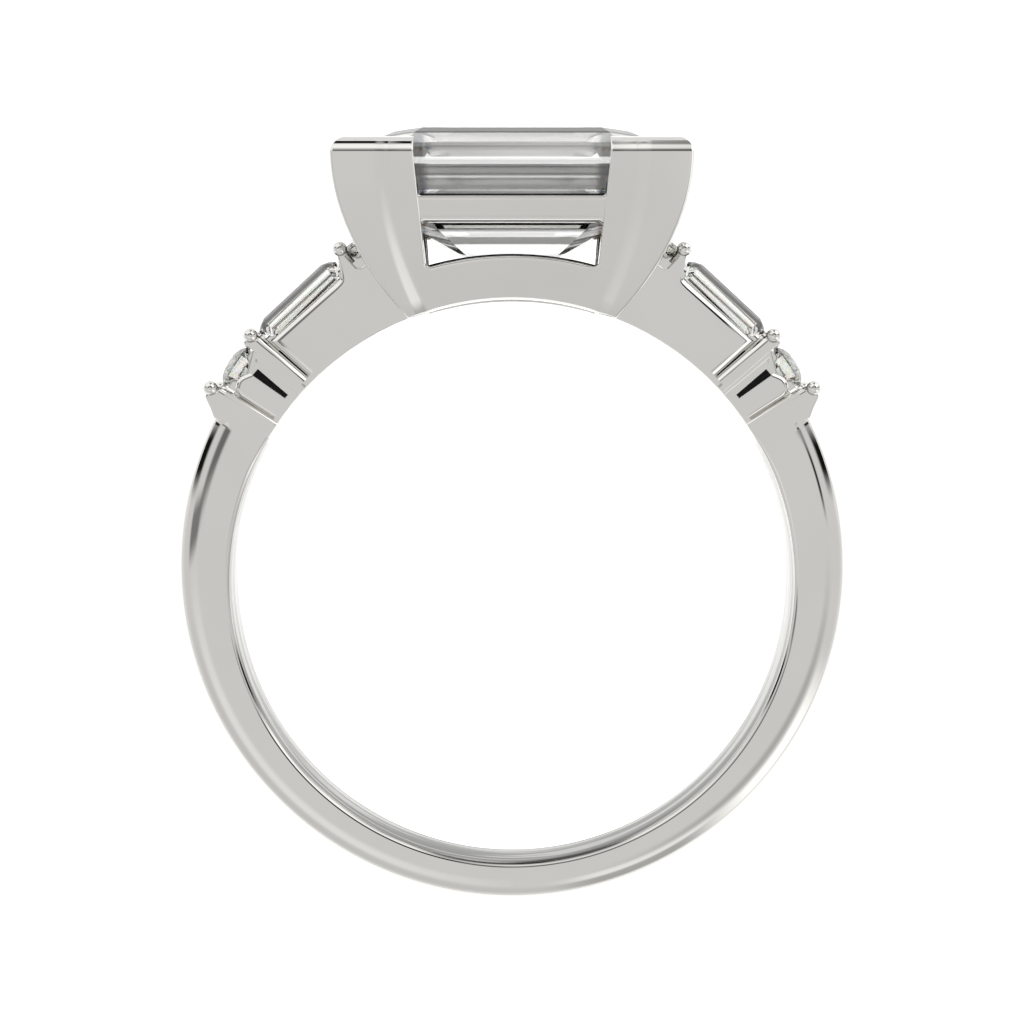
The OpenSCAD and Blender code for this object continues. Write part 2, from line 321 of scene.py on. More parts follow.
class Tree:
    """A node tree under way, with short ways to add and join nodes."""

    def __init__(self, tree: bpy.types.NodeTree) -> None:
        """Takes an empty tree."""
        self.tree = tree

    def add(self, kind: str, **values: object) -> bpy.types.Node:
        """Adds a node.

        Args:
            kind: the node's type.
            values: settings of the node itself.

        Returns:
            The new node.
        """
        node = self.tree.nodes.new(kind)
        for name, value in values.items():
            setattr(node, name, value)
        return node

    def set(self, node: bpy.types.Node, socket: int | str, value: object) -> None:
        """Joins a socket to an output, or gives it a plain value.

        Args:
            node: the node that the socket is on.
            socket: its number or name.
            value: an output, or the value.
        """
        if isinstance(value, Socket):
            self.tree.links.new(value, node.inputs[socket])
        else:
            node.inputs[socket].default_value = value

    def math(self, operation: str, *values: object) -> Socket:
        """Adds a math node.

        Args:
            operation: what it does.
            values: sockets or numbers that it works on.

        Returns:
            Its result.
        """
        node = self.add("ShaderNodeMath", operation=operation)
        for i, value in enumerate(values):
            self.set(node, i, value)
        return node.outputs[0]

    def ease(self, value: object, low: float, high: float) -> Socket:
        """Adds a smooth step from nought to one.

        Args:
            value: what is measured.
            low: where the step is at nought.
            high: where it is at one, which may lie below low.

        Returns:
            The step's height at the value.
        """
        node = self.add("ShaderNodeMapRange", interpolation_type="SMOOTHSTEP")
        self.set(node, "Value", value)
        if low < high:
            ends = (low, high, 0.0, 1.0)
        else:
            ends = (high, low, 1.0, 0.0)
        for name, end in zip(("From Min", "From Max", "To Min", "To Max"), ends):
            self.set(node, name, end)
        return node.outputs[0]

    def between(self, value: object, low: float, high: float, soft: float) -> Socket:
        """Marks a range with soft ends.

        Args:
            value: what is measured.
            low: where the range starts.
            high: where it ends.
            soft: half width of its ends.

        Returns:
            One inside the range and nought outside.
        """
        rise = self.ease(value, low - soft, low + soft)
        fall = self.ease(value, high + soft, high - soft)
        return self.math("MULTIPLY", rise, fall)

    def mix(self, share: object, first: object, second: object) -> Socket:
        """Adds a mix of two numbers.

        Args:
            share: how much of the second is in it.
            first: a number.
            second: another.

        Returns:
            The number between them.
        """
        node = self.add("ShaderNodeMix", data_type="FLOAT")
        self.set(node, 0, share)
        self.set(node, 2, first)
        self.set(node, 3, second)
        return node.outputs[0]

    def colour(self, share: object, first: object, second: object, blend: Blend = Blend.MIX) -> Socket:
        """Adds a mix of two colours.

        Args:
            share: how much of the second is in it.
            first: a colour.
            second: another, or a grey as one number.
            blend: how the second goes over the first.

        Returns:
            The colour.
        """
        node = self.add("ShaderNodeMix", data_type="RGBA", blend_type=blend.name)
        self.set(node, 0, share)
        self.set(node, 6, first)
        self.set(node, 7, second)
        return node.outputs[2]

    def parts(self, vector: object) -> tuple[Socket, ...]:
        """Splits a vector.

        Args:
            vector: the vector.

        Returns:
            Its three numbers.
        """
        node = self.add("ShaderNodeSeparateXYZ")
        self.set(node, 0, vector)
        return tuple(node.outputs)

    def joined(self, *numbers: object) -> Socket:
        """Makes a vector.

        Args:
            numbers: its three numbers.

        Returns:
            The vector.
        """
        node = self.add("ShaderNodeCombineXYZ")
        for i, number in enumerate(numbers):
            self.set(node, i, number)
        return node.outputs[0]

    def length(self, x: object, y: object) -> Socket:
        """The length of the line with these two legs."""
        squares = [self.math("MULTIPLY", leg, leg) for leg in (x, y)]
        return self.math("SQRT", self.math("ADD", *squares))

    def object_place(self) -> Socket:
        """The place of a point on its object."""
        return self.add("ShaderNodeTexCoord").outputs["Object"]

    def noise(self, place: Socket, scale: float, detail: float = 2.0) -> Socket:
        """Adds a noise.

        Args:
            place: where it is read.
            scale: how fast it changes, per unit of place.
            detail: how much finer noise is laid over it.

        Returns:
            Its value, between nought and one.
        """
        node = self.add("ShaderNodeTexNoise")
        self.set(node, "Vector", place)
        self.set(node, "Scale", scale)
        self.set(node, "Detail", detail)
        return node.outputs[0]

    def ramp(self, value: object, stops: list[tuple[float, tuple[float, float, float]]]) -> Socket:
        """Adds a colour ramp.

        Args:
            value: what is measured, between nought and one.
            stops: places on the ramp and the colours there.

        Returns:
            The colour at the value.
        """
        node = self.add("ShaderNodeValToRGB")
        self.set(node, 0, value)
        band = node.color_ramp
        while len(band.elements) < len(stops):
            band.elements.new(0.5)
        for element, (place, colour) in zip(band.elements, stops):
            element.position = place
            element.color = (*colour, 1.0)
        return node.outputs[0]


def material(name: str) -> tuple[bpy.types.Material, Tree, bpy.types.Node]:
    """A new material with its shader and nothing else.

    Args:
        name: the material's name.

    Returns:
        The material, its tree and its Principled shader.
    """
    made = bpy.data.materials.new(name)
    made.use_nodes = True
    tree = Tree(made.node_tree)
    tree.tree.nodes.clear()
    shader = tree.add("ShaderNodeBsdfPrincipled")
    out = tree.add("ShaderNodeOutputMaterial")
    tree.set(out, "Surface", shader.outputs[0])
    return made, tree, shader


@dataclass(frozen=True)
class WornWall:
    """Painted reflections: long dark streaks and a dark line on the wall of the finger hole, darkest opposite
    the centre stone.

    Args:
        dark: how dark the streaks are at their darkest.
        faint: the share of that beside the centre stone.
        kept: the light that is kept between the streaks at the darkest place.
        low: sines of the angles between which the streaks grow dark.
        wall: how far out from the hole's radius they are gone and full.
        around: how fast they change round the hole, per millimetre.
        along: how fast they change along the finger, per millimetre.
        sharp: the noise's values between which a streak fades.
        line: how far from the band's middle a dark line starts and stops.
        line_soft: half width of that line's edges.
        line_kept: the light that is kept on it.
    """

    dark: float = 0.9
    faint: float = 0.3
    kept: float = 0.72
    low: Flat = (0.25, -0.75)
    wall: Flat = (0.13, 0.03)
    around: float = 0.12
    along: float = 2.6
    sharp: Flat = (0.43, 0.56)
    line: Flat = (0.72, 0.88)
    line_soft: float = 0.06
    line_kept: float = 0.35

    def share(self, tree: Tree, place: Socket, lie: Matrix, bore: float) -> Socket:
        """Adds the painted streaks.

        Args:
            tree: the material's tree.
            place: the point on the metal.
            lie: takes the ring's own frame to the scene's.
            bore: radius of the finger hole.

        Returns:
            The share of the light that the wall keeps.
        """
        turn = tree.add("ShaderNodeMapping", vector_type="POINT")
        back = lie.inverted()
        tree.set(turn, "Vector", place)
        tree.set(turn, "Rotation", back.to_euler())
        tree.set(turn, "Location", back.translation)
        tree.set(turn, "Scale", back.to_scale())
        x, y, z = tree.parts(turn.outputs[0])
        radius = tree.length(x, y)
        low = tree.ease(tree.math("DIVIDE", y, radius), *self.low)
        wall = tree.ease(radius, *(bore + out for out in self.wall))
        stretch = zip((x, y, z), (self.around, self.around, self.along))
        cell = tree.joined(*(tree.math("MULTIPLY", value, scale) for value, scale in stretch))
        streak = tree.ease(tree.noise(cell, 1.0), *self.sharp)
        dark = tree.mix(low, self.dark * self.faint, self.dark)
        kept = tree.mix(streak, tree.math("SUBTRACT", 1.0, dark), tree.mix(low, 1.0, self.kept))
        edge = tree.between(tree.math("ABSOLUTE", z), *self.line, self.line_soft)
        line = tree.mix(tree.math("MULTIPLY", edge, low), 1.0, self.line_kept)
        return tree.mix(wall, 1.0, tree.math("MULTIPLY", kept, line))


@dataclass(frozen=True)
class PolishedGold:
    """White gold under a bright rhodium polish, with painted shade on faces that turn away from the finger's
    axis.

    Args:
        name: the material's name.
        tint: what the metal mirrors, as a colour.
        cloudy: the share of it that is left in the polish's faint clouds.
        clouds: the noise's values at which a cloud starts and stops.
        smooth: roughness of the best polished places.
        haze: how much rougher the least polished places are.
        wave: size of the polish's faint waves, per metre.
        fine: how much finer its grain is than those waves.
        detail: how much finer noise is laid over that grain.
        side: the share of light kept on faces that look straight away from the finger's axis, a painted
            shade.
        turned: how far faces look along that axis where the painted shade is darkest and where it stops.
        worn: the painted reflections streaked on the wall of the finger hole.
    """

    name: str = "white_gold_polish"
    tint: Point = (0.83, 0.822, 0.795)
    cloudy: float = 0.975
    clouds: Flat = (0.3, 0.7)
    smooth: float = 0.022
    haze: float = 0.03
    wave: float = 420.0
    fine: float = 22.0
    detail: float = 3.0
    side: float = 0.8
    turned: Flat = (0.02, 0.3)
    worn: WornWall | None = None

    def make(self, lie: Matrix, bore: float) -> bpy.types.Material:
        """Builds the material.

        Args:
            lie: takes the ring's own frame to the scene's.
            bore: radius of the finger hole.

        Returns:
            The material.
        """
        made, tree, shader = material(self.name)
        given = tree.add("ShaderNodeTexCoord")
        place = given.outputs["Object"]
        low, high = self.clouds
        clouds = [(low, tuple(c * self.cloudy for c in self.tint)), (high, self.tint)]
        tone = tree.ramp(tree.noise(place, self.wave), clouds)
        # Painted shade: faces that turn away from the finger's axis get a darker colour, which draws dark
        # outlines round the metal.
        facing = tree.add("ShaderNodeVectorMath", operation="DOT_PRODUCT")
        tree.set(facing, 0, given.outputs["Normal"])
        tree.set(facing, 1, lie.col[2].to_3d().normalized())
        along = tree.math("ABSOLUTE", facing.outputs["Value"])
        share = tree.mix(tree.ease(along, *self.turned), self.side, 1.0)
        # Painted reflections: the streaks on the finger hole's wall darken the colour further.
        if self.worn:
            share = tree.math("MULTIPLY", share, self.worn.share(tree, place, lie, bore))
        grain = tree.noise(place, self.wave * self.fine, self.detail)
        rough = tree.math("MULTIPLY_ADD", grain, self.haze, self.smooth - self.haze * low)
        tree.set(shader, "Base Color", tree.colour(1.0, tone, share, Blend.MULTIPLY))
        tree.set(shader, "Metallic", 1.0)
        tree.set(shader, "Roughness", rough)
        return made


@dataclass(frozen=True)
class DarkRecess:
    """Painted shade: a near-black rough finish for sheets set in narrow slots, grooves and behind the
    windows' edges, where shade falls.

    Args:
        tint: its darkest colour.
        lift: how much brighter the palest grains are.
        spread: the noise's values of the darkest and the palest grains.
        grain: how small the grains are, per metre.
        detail: how much finer noise is laid over them.
        rough: its roughness.
        shine: how strongly it mirrors.
    """

    tint: Point = (0.006, 0.006, 0.006)
    lift: float = 2.5
    spread: Flat = (0.3, 0.8)
    grain: float = 9000.0
    detail: float = 3.0
    rough: float = 0.7
    shine: float = 0.1

    def make(self) -> bpy.types.Material:
        """Builds the material.

        Returns:
            The material.
        """
        made, tree, shader = material("dark_recess")
        grain = tree.noise(tree.object_place(), self.grain, self.detail)
        tints = (self.tint, tuple(c * self.lift for c in self.tint))
        tone = tree.ramp(grain, list(zip(self.spread, tints)))
        tree.set(shader, "Base Color", tone)
        tree.set(shader, "Metallic", 0.0)
        tree.set(shader, "Roughness", self.rough)
        tree.set(shader, "Specular IOR Level", self.shine)
        return made


@dataclass(frozen=True)
class ClearStone:
    """A colourless cut stone with painted light and dark bands for its facets' reflections, a painted glow
    and painted coloured fire.

    Args:
        name: the material's name.
        steps: painted light and dark bands along its depth, which stand in for its facets' reflections, in
            millimetres and as a share.
        glow: painted glow, emitted at places along its depth in the same way.
        ends: painted shade at places across it, counted from its middle.
        lean: angle in degrees between the stone's axis and the centre stone's.
        fire: how strong the colours of its painted fire are.
        grain: how small the painted fire's coloured flecks are, per metre.
        ior: how strongly it bends light.
    """

    name: str
    steps: Stops
    glow: Stops = ((0.0, 0.0), (13.0, 0.0))
    ends: Stops = ()
    lean: float = 0.0
    fire: float = 0.16
    grain: float = 1500.0
    ior: float = 2.42

    def make(self, lie: Matrix) -> bpy.types.Material:
        """Builds the material.

        Args:
            lie: takes the ring's own frame to the scene's.

        Returns:
            The material.
        """
        made, tree, shader = material(self.name)
        place = tree.object_place()
        # Painted light: bands of light and shade along the stone's depth stand in for its facets'
        # reflections, darker towards its ends where given.
        depth = self.depth(tree, place, lie)
        shade = self.scale(tree, depth, self.steps)
        # Painted fire: coloured flecks stand in for the light that the stone splits into colours.
        coloured = tree.ramp(tree.noise(place, self.grain, 1.0), self.flecks())
        if self.ends:
            across = tree.math("DIVIDE", tree.math("ABSOLUTE", tree.parts(place)[0]), MM)
            share = self.scale(tree, across, self.ends)
            coloured = tree.colour(share, coloured, WHITE)
            shade = tree.math("MULTIPLY", shade, share)
        tree.set(shader, "Base Color", tree.colour(1.0, coloured, shade, Blend.MULTIPLY))
        tree.set(shader, "Roughness", 0.0)
        tree.set(shader, "IOR", self.ior)
        tree.set(shader, "Transmission Weight", 1.0)
        # Painted glow: emission at set depths stands in for the light that the facets reflect.
        tree.set(shader, "Emission Color", self.scale(tree, depth, self.glow))
        tree.set(shader, "Emission Strength", 1.0)
        return made

    def flecks(self) -> list[tuple[float, Point]]:
        """Lists the colours of the stone's painted fire.

        Returns:
            Values of the noise and the colours there.
        """
        pale = 1.0 - self.fire
        return [
            (0.30, (1.0, 1.0, 1.0)),
            (0.42, (pale, pale + 0.06, 1.0)),
            (0.47, (pale + 0.02, 1.0, pale + 0.05)),
            (0.53, (1.0, 1.0, pale)),
            (0.58, (1.0, pale, pale + 0.02)),
            (0.70, (1.0, 1.0, 1.0)),
        ]

    def depth(self, tree: Tree, place: Socket, lie: Matrix) -> Socket:
        """Measures how far a point lies along the stone's axis.

        Args:
            tree: the material's tree.
            place: the point.
            lie: takes the ring's own frame to the scene's.

        Returns:
            The distance from the finger hole's middle, in millimetres.
        """
        a = math.radians(self.lean)
        row = lie.inverted().row[1]
        x, *others = tree.parts(place)
        across = tree.math("MULTIPLY", tree.math("ABSOLUTE", x), math.sin(a) / MM)
        total = tree.math("ADD", across, row[3] * math.cos(a))
        for value, weight in zip(others, row[1:3]):
            total = tree.math("ADD", total, tree.math("MULTIPLY", value, weight * math.cos(a)))
        return total

    def scale(self, tree: Tree, depth: Socket, stops: Stops) -> Socket:
        """Adds a grey scale.

        Args:
            tree: the material's tree.
            depth: the place that is looked up, in millimetres.
            stops: places and the greys there.

        Returns:
            The grey at the place.
        """
        low, high = stops[0][0], stops[-1][0]
        share = tree.math("DIVIDE", tree.math("SUBTRACT", depth, low), high - low)
        return tree.ramp(share, [((place - low) / (high - low), (value,) * 3) for place, value in stops])


@dataclass(frozen=True)
class PaleFloor:
    """A plain white light table, brightest round the ring.

    Args:
        half: half its width, in metres.
        tone: its paint.
        dim: the share of that in its darker grains.
        spread: the noise's values of the darkest and the palest grains.
        grain: how small the grains are, per metre.
        rough: its roughness.
        glow: light that comes up through its middle.
        rest: light that comes up through the rest.
        reach: half width of the bright middle, in metres.
        fade: how far the light fades over, in metres.
    """

    half: float = 1.5
    tone: float = 0.9
    dim: float = 0.985
    spread: Flat = (0.3, 0.7)
    grain: float = 3000.0
    rough: float = 0.9
    glow: float = 0.62
    rest: float = 0.2
    reach: float = 0.0168
    fade: float = 0.004

    def make(self) -> bpy.types.Material:
        """Builds the material.

        Returns:
            The material.
        """
        made, tree, shader = material("pale_floor")
        place = tree.object_place()
        x, y = (tree.math("ABSOLUTE", value) for value in tree.parts(place)[:2])
        far = tree.math("SMOOTH_MAX", x, y, self.fade)
        away = tree.ease(far, self.reach, self.reach + self.fade)
        paint = list(zip(self.spread, ((self.tone * self.dim,) * 3, (self.tone,) * 3)))
        tree.set(shader, "Base Color", tree.ramp(tree.noise(place, self.grain), paint))
        tree.set(shader, "Roughness", self.rough)
        tree.set(shader, "Specular IOR Level", 0.0)
        tree.set(shader, "Emission Color", WHITE)
        tree.set(shader, "Emission Strength", tree.mix(away, self.glow, self.rest))
        return made

    def lay(self) -> None:
        """Lays the floor under the ring."""
        mesh = bpy.data.meshes.new("floor")
        corners = [(x * self.half, y * self.half, 0.0) for x, y in ((-1, -1), (1, -1), (1, 1), (-1, 1))]
        mesh.from_pydata(corners, [], [(0, 1, 2, 3)])
        mesh.materials.append(self.make())
        made = bpy.data.objects.new("floor", mesh)
        bpy.context.scene.collection.objects.link(made)


@dataclass(frozen=True)
class Panel:
    """A soft-edged area of the studio's surroundings.

    Args:
        polar: its range of angles from the finger's axis, in degrees.
        azimuth: its range of angles round that axis from +X, between -90 and 270.
        level: how bright it is.
        polar_soft: half width of its edges across the first range.
        azimuth_soft: half width of its edges across the second.
    """

    polar: Flat
    azimuth: Flat
    level: float
    polar_soft: float = 4.0
    azimuth_soft: float = 4.0

    def over(self, tree: Tree, below: object, polar: object, azimuth: object) -> Socket:
        """Lays the panel over what is there already.

        Args:
            tree: the world's tree.
            below: brightness so far.
            polar: angle from the finger's axis.
            azimuth: angle round it.

        Returns:
            The brightness with the panel.
        """
        across = tree.between(polar, *self.polar, self.polar_soft)
        around = tree.between(azimuth, *self.azimuth, self.azimuth_soft)
        return tree.mix(tree.math("MULTIPLY", across, around), below, self.level)


# Broad pale walls come first, then the soft bands that model rounded edges, and last the narrow
# dark gaps that draw the black lines in the polish.
PANELS = (
    Panel((86.0, 200.0), (-120.0, 300.0), 1.3, 6.0),
    Panel((80.0, 110.0), (172.0, 262.0), 0.76, 8.0, 8.0),
    Panel((80.0, 116.0), (-28.0, 8.0), 0.74, 8.0, 8.0),
    Panel((26.0, 48.0), (196.0, 262.0), 0.86, 8.0, 18.0),
    Panel((54.0, 76.0), (196.0, 300.0), 0.63, 9.0, 14.0),
    Panel((54.0, 76.0), (-120.0, -72.0), 0.63, 9.0, 6.0),
    Panel((54.0, 100.0), (-80.0, -58.0), 0.46, 6.0, 5.0),
    Panel((36.0, 52.0), (-80.0, -54.0), 0.95, 4.0, 6.0),
    Panel((48.0, 96.0), (-52.0, -26.0), 1.3, 8.0, 8.0),
    Panel((24.0, 40.0), (-66.0, -16.0), 0.48, 7.0, 14.0),
    Panel((58.0, 120.0), (94.0, 156.0), 1.08, 20.0, 9.0),
    Panel((42.0, 66.0), (84.0, 140.0), 1.1, 4.0, 8.0),
    Panel((42.0, 120.0), (26.0, 71.0), 1.45, 4.0, 5.0),
    Panel((66.0, 110.0), (74.0, 88.0), 0.26, 8.0, 4.0),
    Panel((84.0, 106.0), (74.0, 82.0), 0.01, 6.0, 2.0),
    Panel((72.0, 93.0), (90.0, 98.0), 0.006, 4.0, 2.0),
    Panel((15.0, 35.0), (86.0, 178.0), 0.17, 5.0, 9.0),
    Panel((27.0, 54.0), (174.0, 184.0), 0.22, 5.0, 3.0),
    Panel((18.0, 38.0), (18.0, 82.0), 0.004, 3.0, 6.0),
    Panel((15.0, 35.0), (78.0, 90.0), 0.14, 5.0, 4.0),
    Panel((29.0, 36.0), (3.0, 16.0), 0.02, 2.5, 4.0),
    Panel((60.0, 98.0), (158.0, 170.0), 0.008, 7.0, 3.5),
    Panel((60.0, 98.0), (10.0, 21.0), 0.008, 7.0, 3.5),
)


def node_group(name: str, inputs: dict[str, str]) -> tuple[Tree, bpy.types.NodeOutputs]:
    """A new geometry tree with named inputs.

    Args:
        name: the tree's name.
        inputs: socket types by name.

    Returns:
        The tree and its inputs.
    """
    group = bpy.data.node_groups.new(name, "GeometryNodeTree")
    group.interface.new_socket("Geometry", in_out="OUTPUT", socket_type="NodeSocketGeometry")
    for title, kind in inputs.items():
        group.interface.new_socket(title, in_out="INPUT", socket_type=kind)
    tree = Tree(group)
    return tree, tree.add("NodeGroupInput").outputs


def finish_group(tree: Tree, shape: Socket, skin: Socket) -> None:
    """Ends a geometry tree: makes instances real and gives the shape its material.

    Args:
        tree: the tree.
        shape: the geometry.
        skin: the material.
    """
    whole = tree.add("GeometryNodeRealizeInstances")
    tree.set(whole, 0, shape)
    dressed = tree.add("GeometryNodeSetMaterial")
    tree.set(dressed, "Geometry", whole.outputs[0])
    tree.set(dressed, "Material", skin)
    out = tree.add("NodeGroupOutput")
    tree.set(out, 0, dressed.outputs[0])


class Bench:
    """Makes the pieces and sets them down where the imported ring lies."""

    def __init__(self, record: dict) -> None:
        """Reads where the finger hole is.

        Args:
            record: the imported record.
        """
        hole = record["mounts"][0]
        along = Vector(hole["axis"]).normalized()
        up = along.cross(Vector((1.0, 0.0, 0.0)))
        turn = Matrix((Vector((1.0, 0.0, 0.0)), up, along)).transposed().to_4x4()
        self.bore = hole["dims"]["r_mm"]
        self.lie = Matrix.Translation(Vector(hole["pos_m"])) @ turn @ Matrix.Scale(MM, 4)
        # Every gold finish paints shade on faces that turn away from the finger's axis, darkest on the beads;
        # the inside's also paints reflections on the hole's wall.
        self.gold = PolishedGold().make(self.lie, self.bore)
        self.beads = self.polished("white_gold_beads", side=0.45, turned=(0.3, 0.62))
        self.frames = self.polished("white_gold_frames", side=0.55)
        self.inside = self.polished("white_gold_inside", side=0.6, worn=WornWall())
        # Painted shade: a near-black finish for sheets in slots, grooves and behind the windows' edges.
        self.dark = DarkRecess().make()
        self.pieces = 0

    def polished(self, name: str, **choices: object) -> bpy.types.Material:
        """A finish of polished gold that differs in a few values."""
        return PolishedGold(name, **choices).make(self.lie, self.bore)

    def placed(self, name: str, data: bpy.types.ID) -> bpy.types.Object:
        """Puts an object into the scene.

        Args:
            name: its name.
            data: its mesh, curve or other data.

        Returns:
            The object.
        """
        made = bpy.data.objects.new(name, data)
        bpy.context.scene.collection.objects.link(made)
        return made

    def cleaned(self, mesh: bpy.types.Mesh, slim: bool) -> bpy.types.Mesh:
        """Joins doubled points and turns the faces outwards.

        Args:
            mesh: the mesh, changed in place.
            slim: whether edges without length are taken out too.

        Returns:
            The same mesh.
        """
        work = bmesh.new()
        work.from_mesh(mesh)
        bmesh.ops.remove_doubles(work, verts=work.verts, dist=SAME)
        if slim:
            bmesh.ops.dissolve_degenerate(work, edges=work.edges, dist=SAME / 10)
        bmesh.ops.recalc_face_normals(work, faces=work.faces)
        work.to_mesh(mesh)
        work.free()
        return mesh

    def object(self, name: str, shell: Shell) -> bpy.types.Object:
        """Turns a shell into an object, still in the ring's own frame.

        Args:
            name: the object's name.
            shell: its shape.

        Returns:
            The object, with its normals pointing outwards.
        """
        mesh = bpy.data.meshes.new(name)
        mesh.from_pydata(shell.points, [], shell.faces)
        return self.placed(name, self.cleaned(mesh, slim=True))

    def grow(self, piece: bpy.types.Object, group: bpy.types.NodeTree, values: dict[str, object]) -> None:
        """Runs a geometry tree on a piece and keeps the result as a plain mesh.

        Args:
            piece: the object that it runs on.
            group: the tree.
            values: its inputs by name.
        """
        made = piece.modifiers.new("grow", "NODES")
        made.node_group = group
        sockets = {s.name: s.identifier for s in group.interface.items_tree}
        for name, value in values.items():
            made[sockets[name]] = value
        seen = piece.evaluated_get(bpy.context.evaluated_depsgraph_get())
        mesh = bpy.data.meshes.new_from_object(seen)
        piece.modifiers.clear()
        piece.data = self.cleaned(mesh, slim=False)

    def finish(self, piece: bpy.types.Object, skin: bpy.types.Material) -> bpy.types.Object:
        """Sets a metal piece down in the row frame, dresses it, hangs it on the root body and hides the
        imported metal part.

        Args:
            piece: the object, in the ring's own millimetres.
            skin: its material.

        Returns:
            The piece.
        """
        piece.data.transform(self.lie)
        piece.data.materials.clear()
        piece.data.materials.append(skin)
        piece.data.shade_smooth()
        piece.data.set_sharp_from_angle(angle=math.radians(SHARP))
        piece.data.update()
        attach(piece, "root")
        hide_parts(METAL)
        self.pieces += 1
        log.info("%s: %d faces", piece.name, len(piece.data.polygons))
        return piece

    def metal(self, name: str, shell: Shell, skin: bpy.types.Material | None = None) -> bpy.types.Object:
        """Makes one finished metal piece, polished where no other skin is given."""
        return self.finish(self.object(name, shell), skin or self.gold)

    def pair(self, name: str, shell: Shell, skin: bpy.types.Material | None = None) -> None:
        """Makes a finished metal piece on the left and its mirror image on the right."""
        self.metal(f"{name}_{Side.LEFT.word}", shell, skin)
        self.metal(f"{name}_{Side.RIGHT.word}", shell.mirrored(), skin)


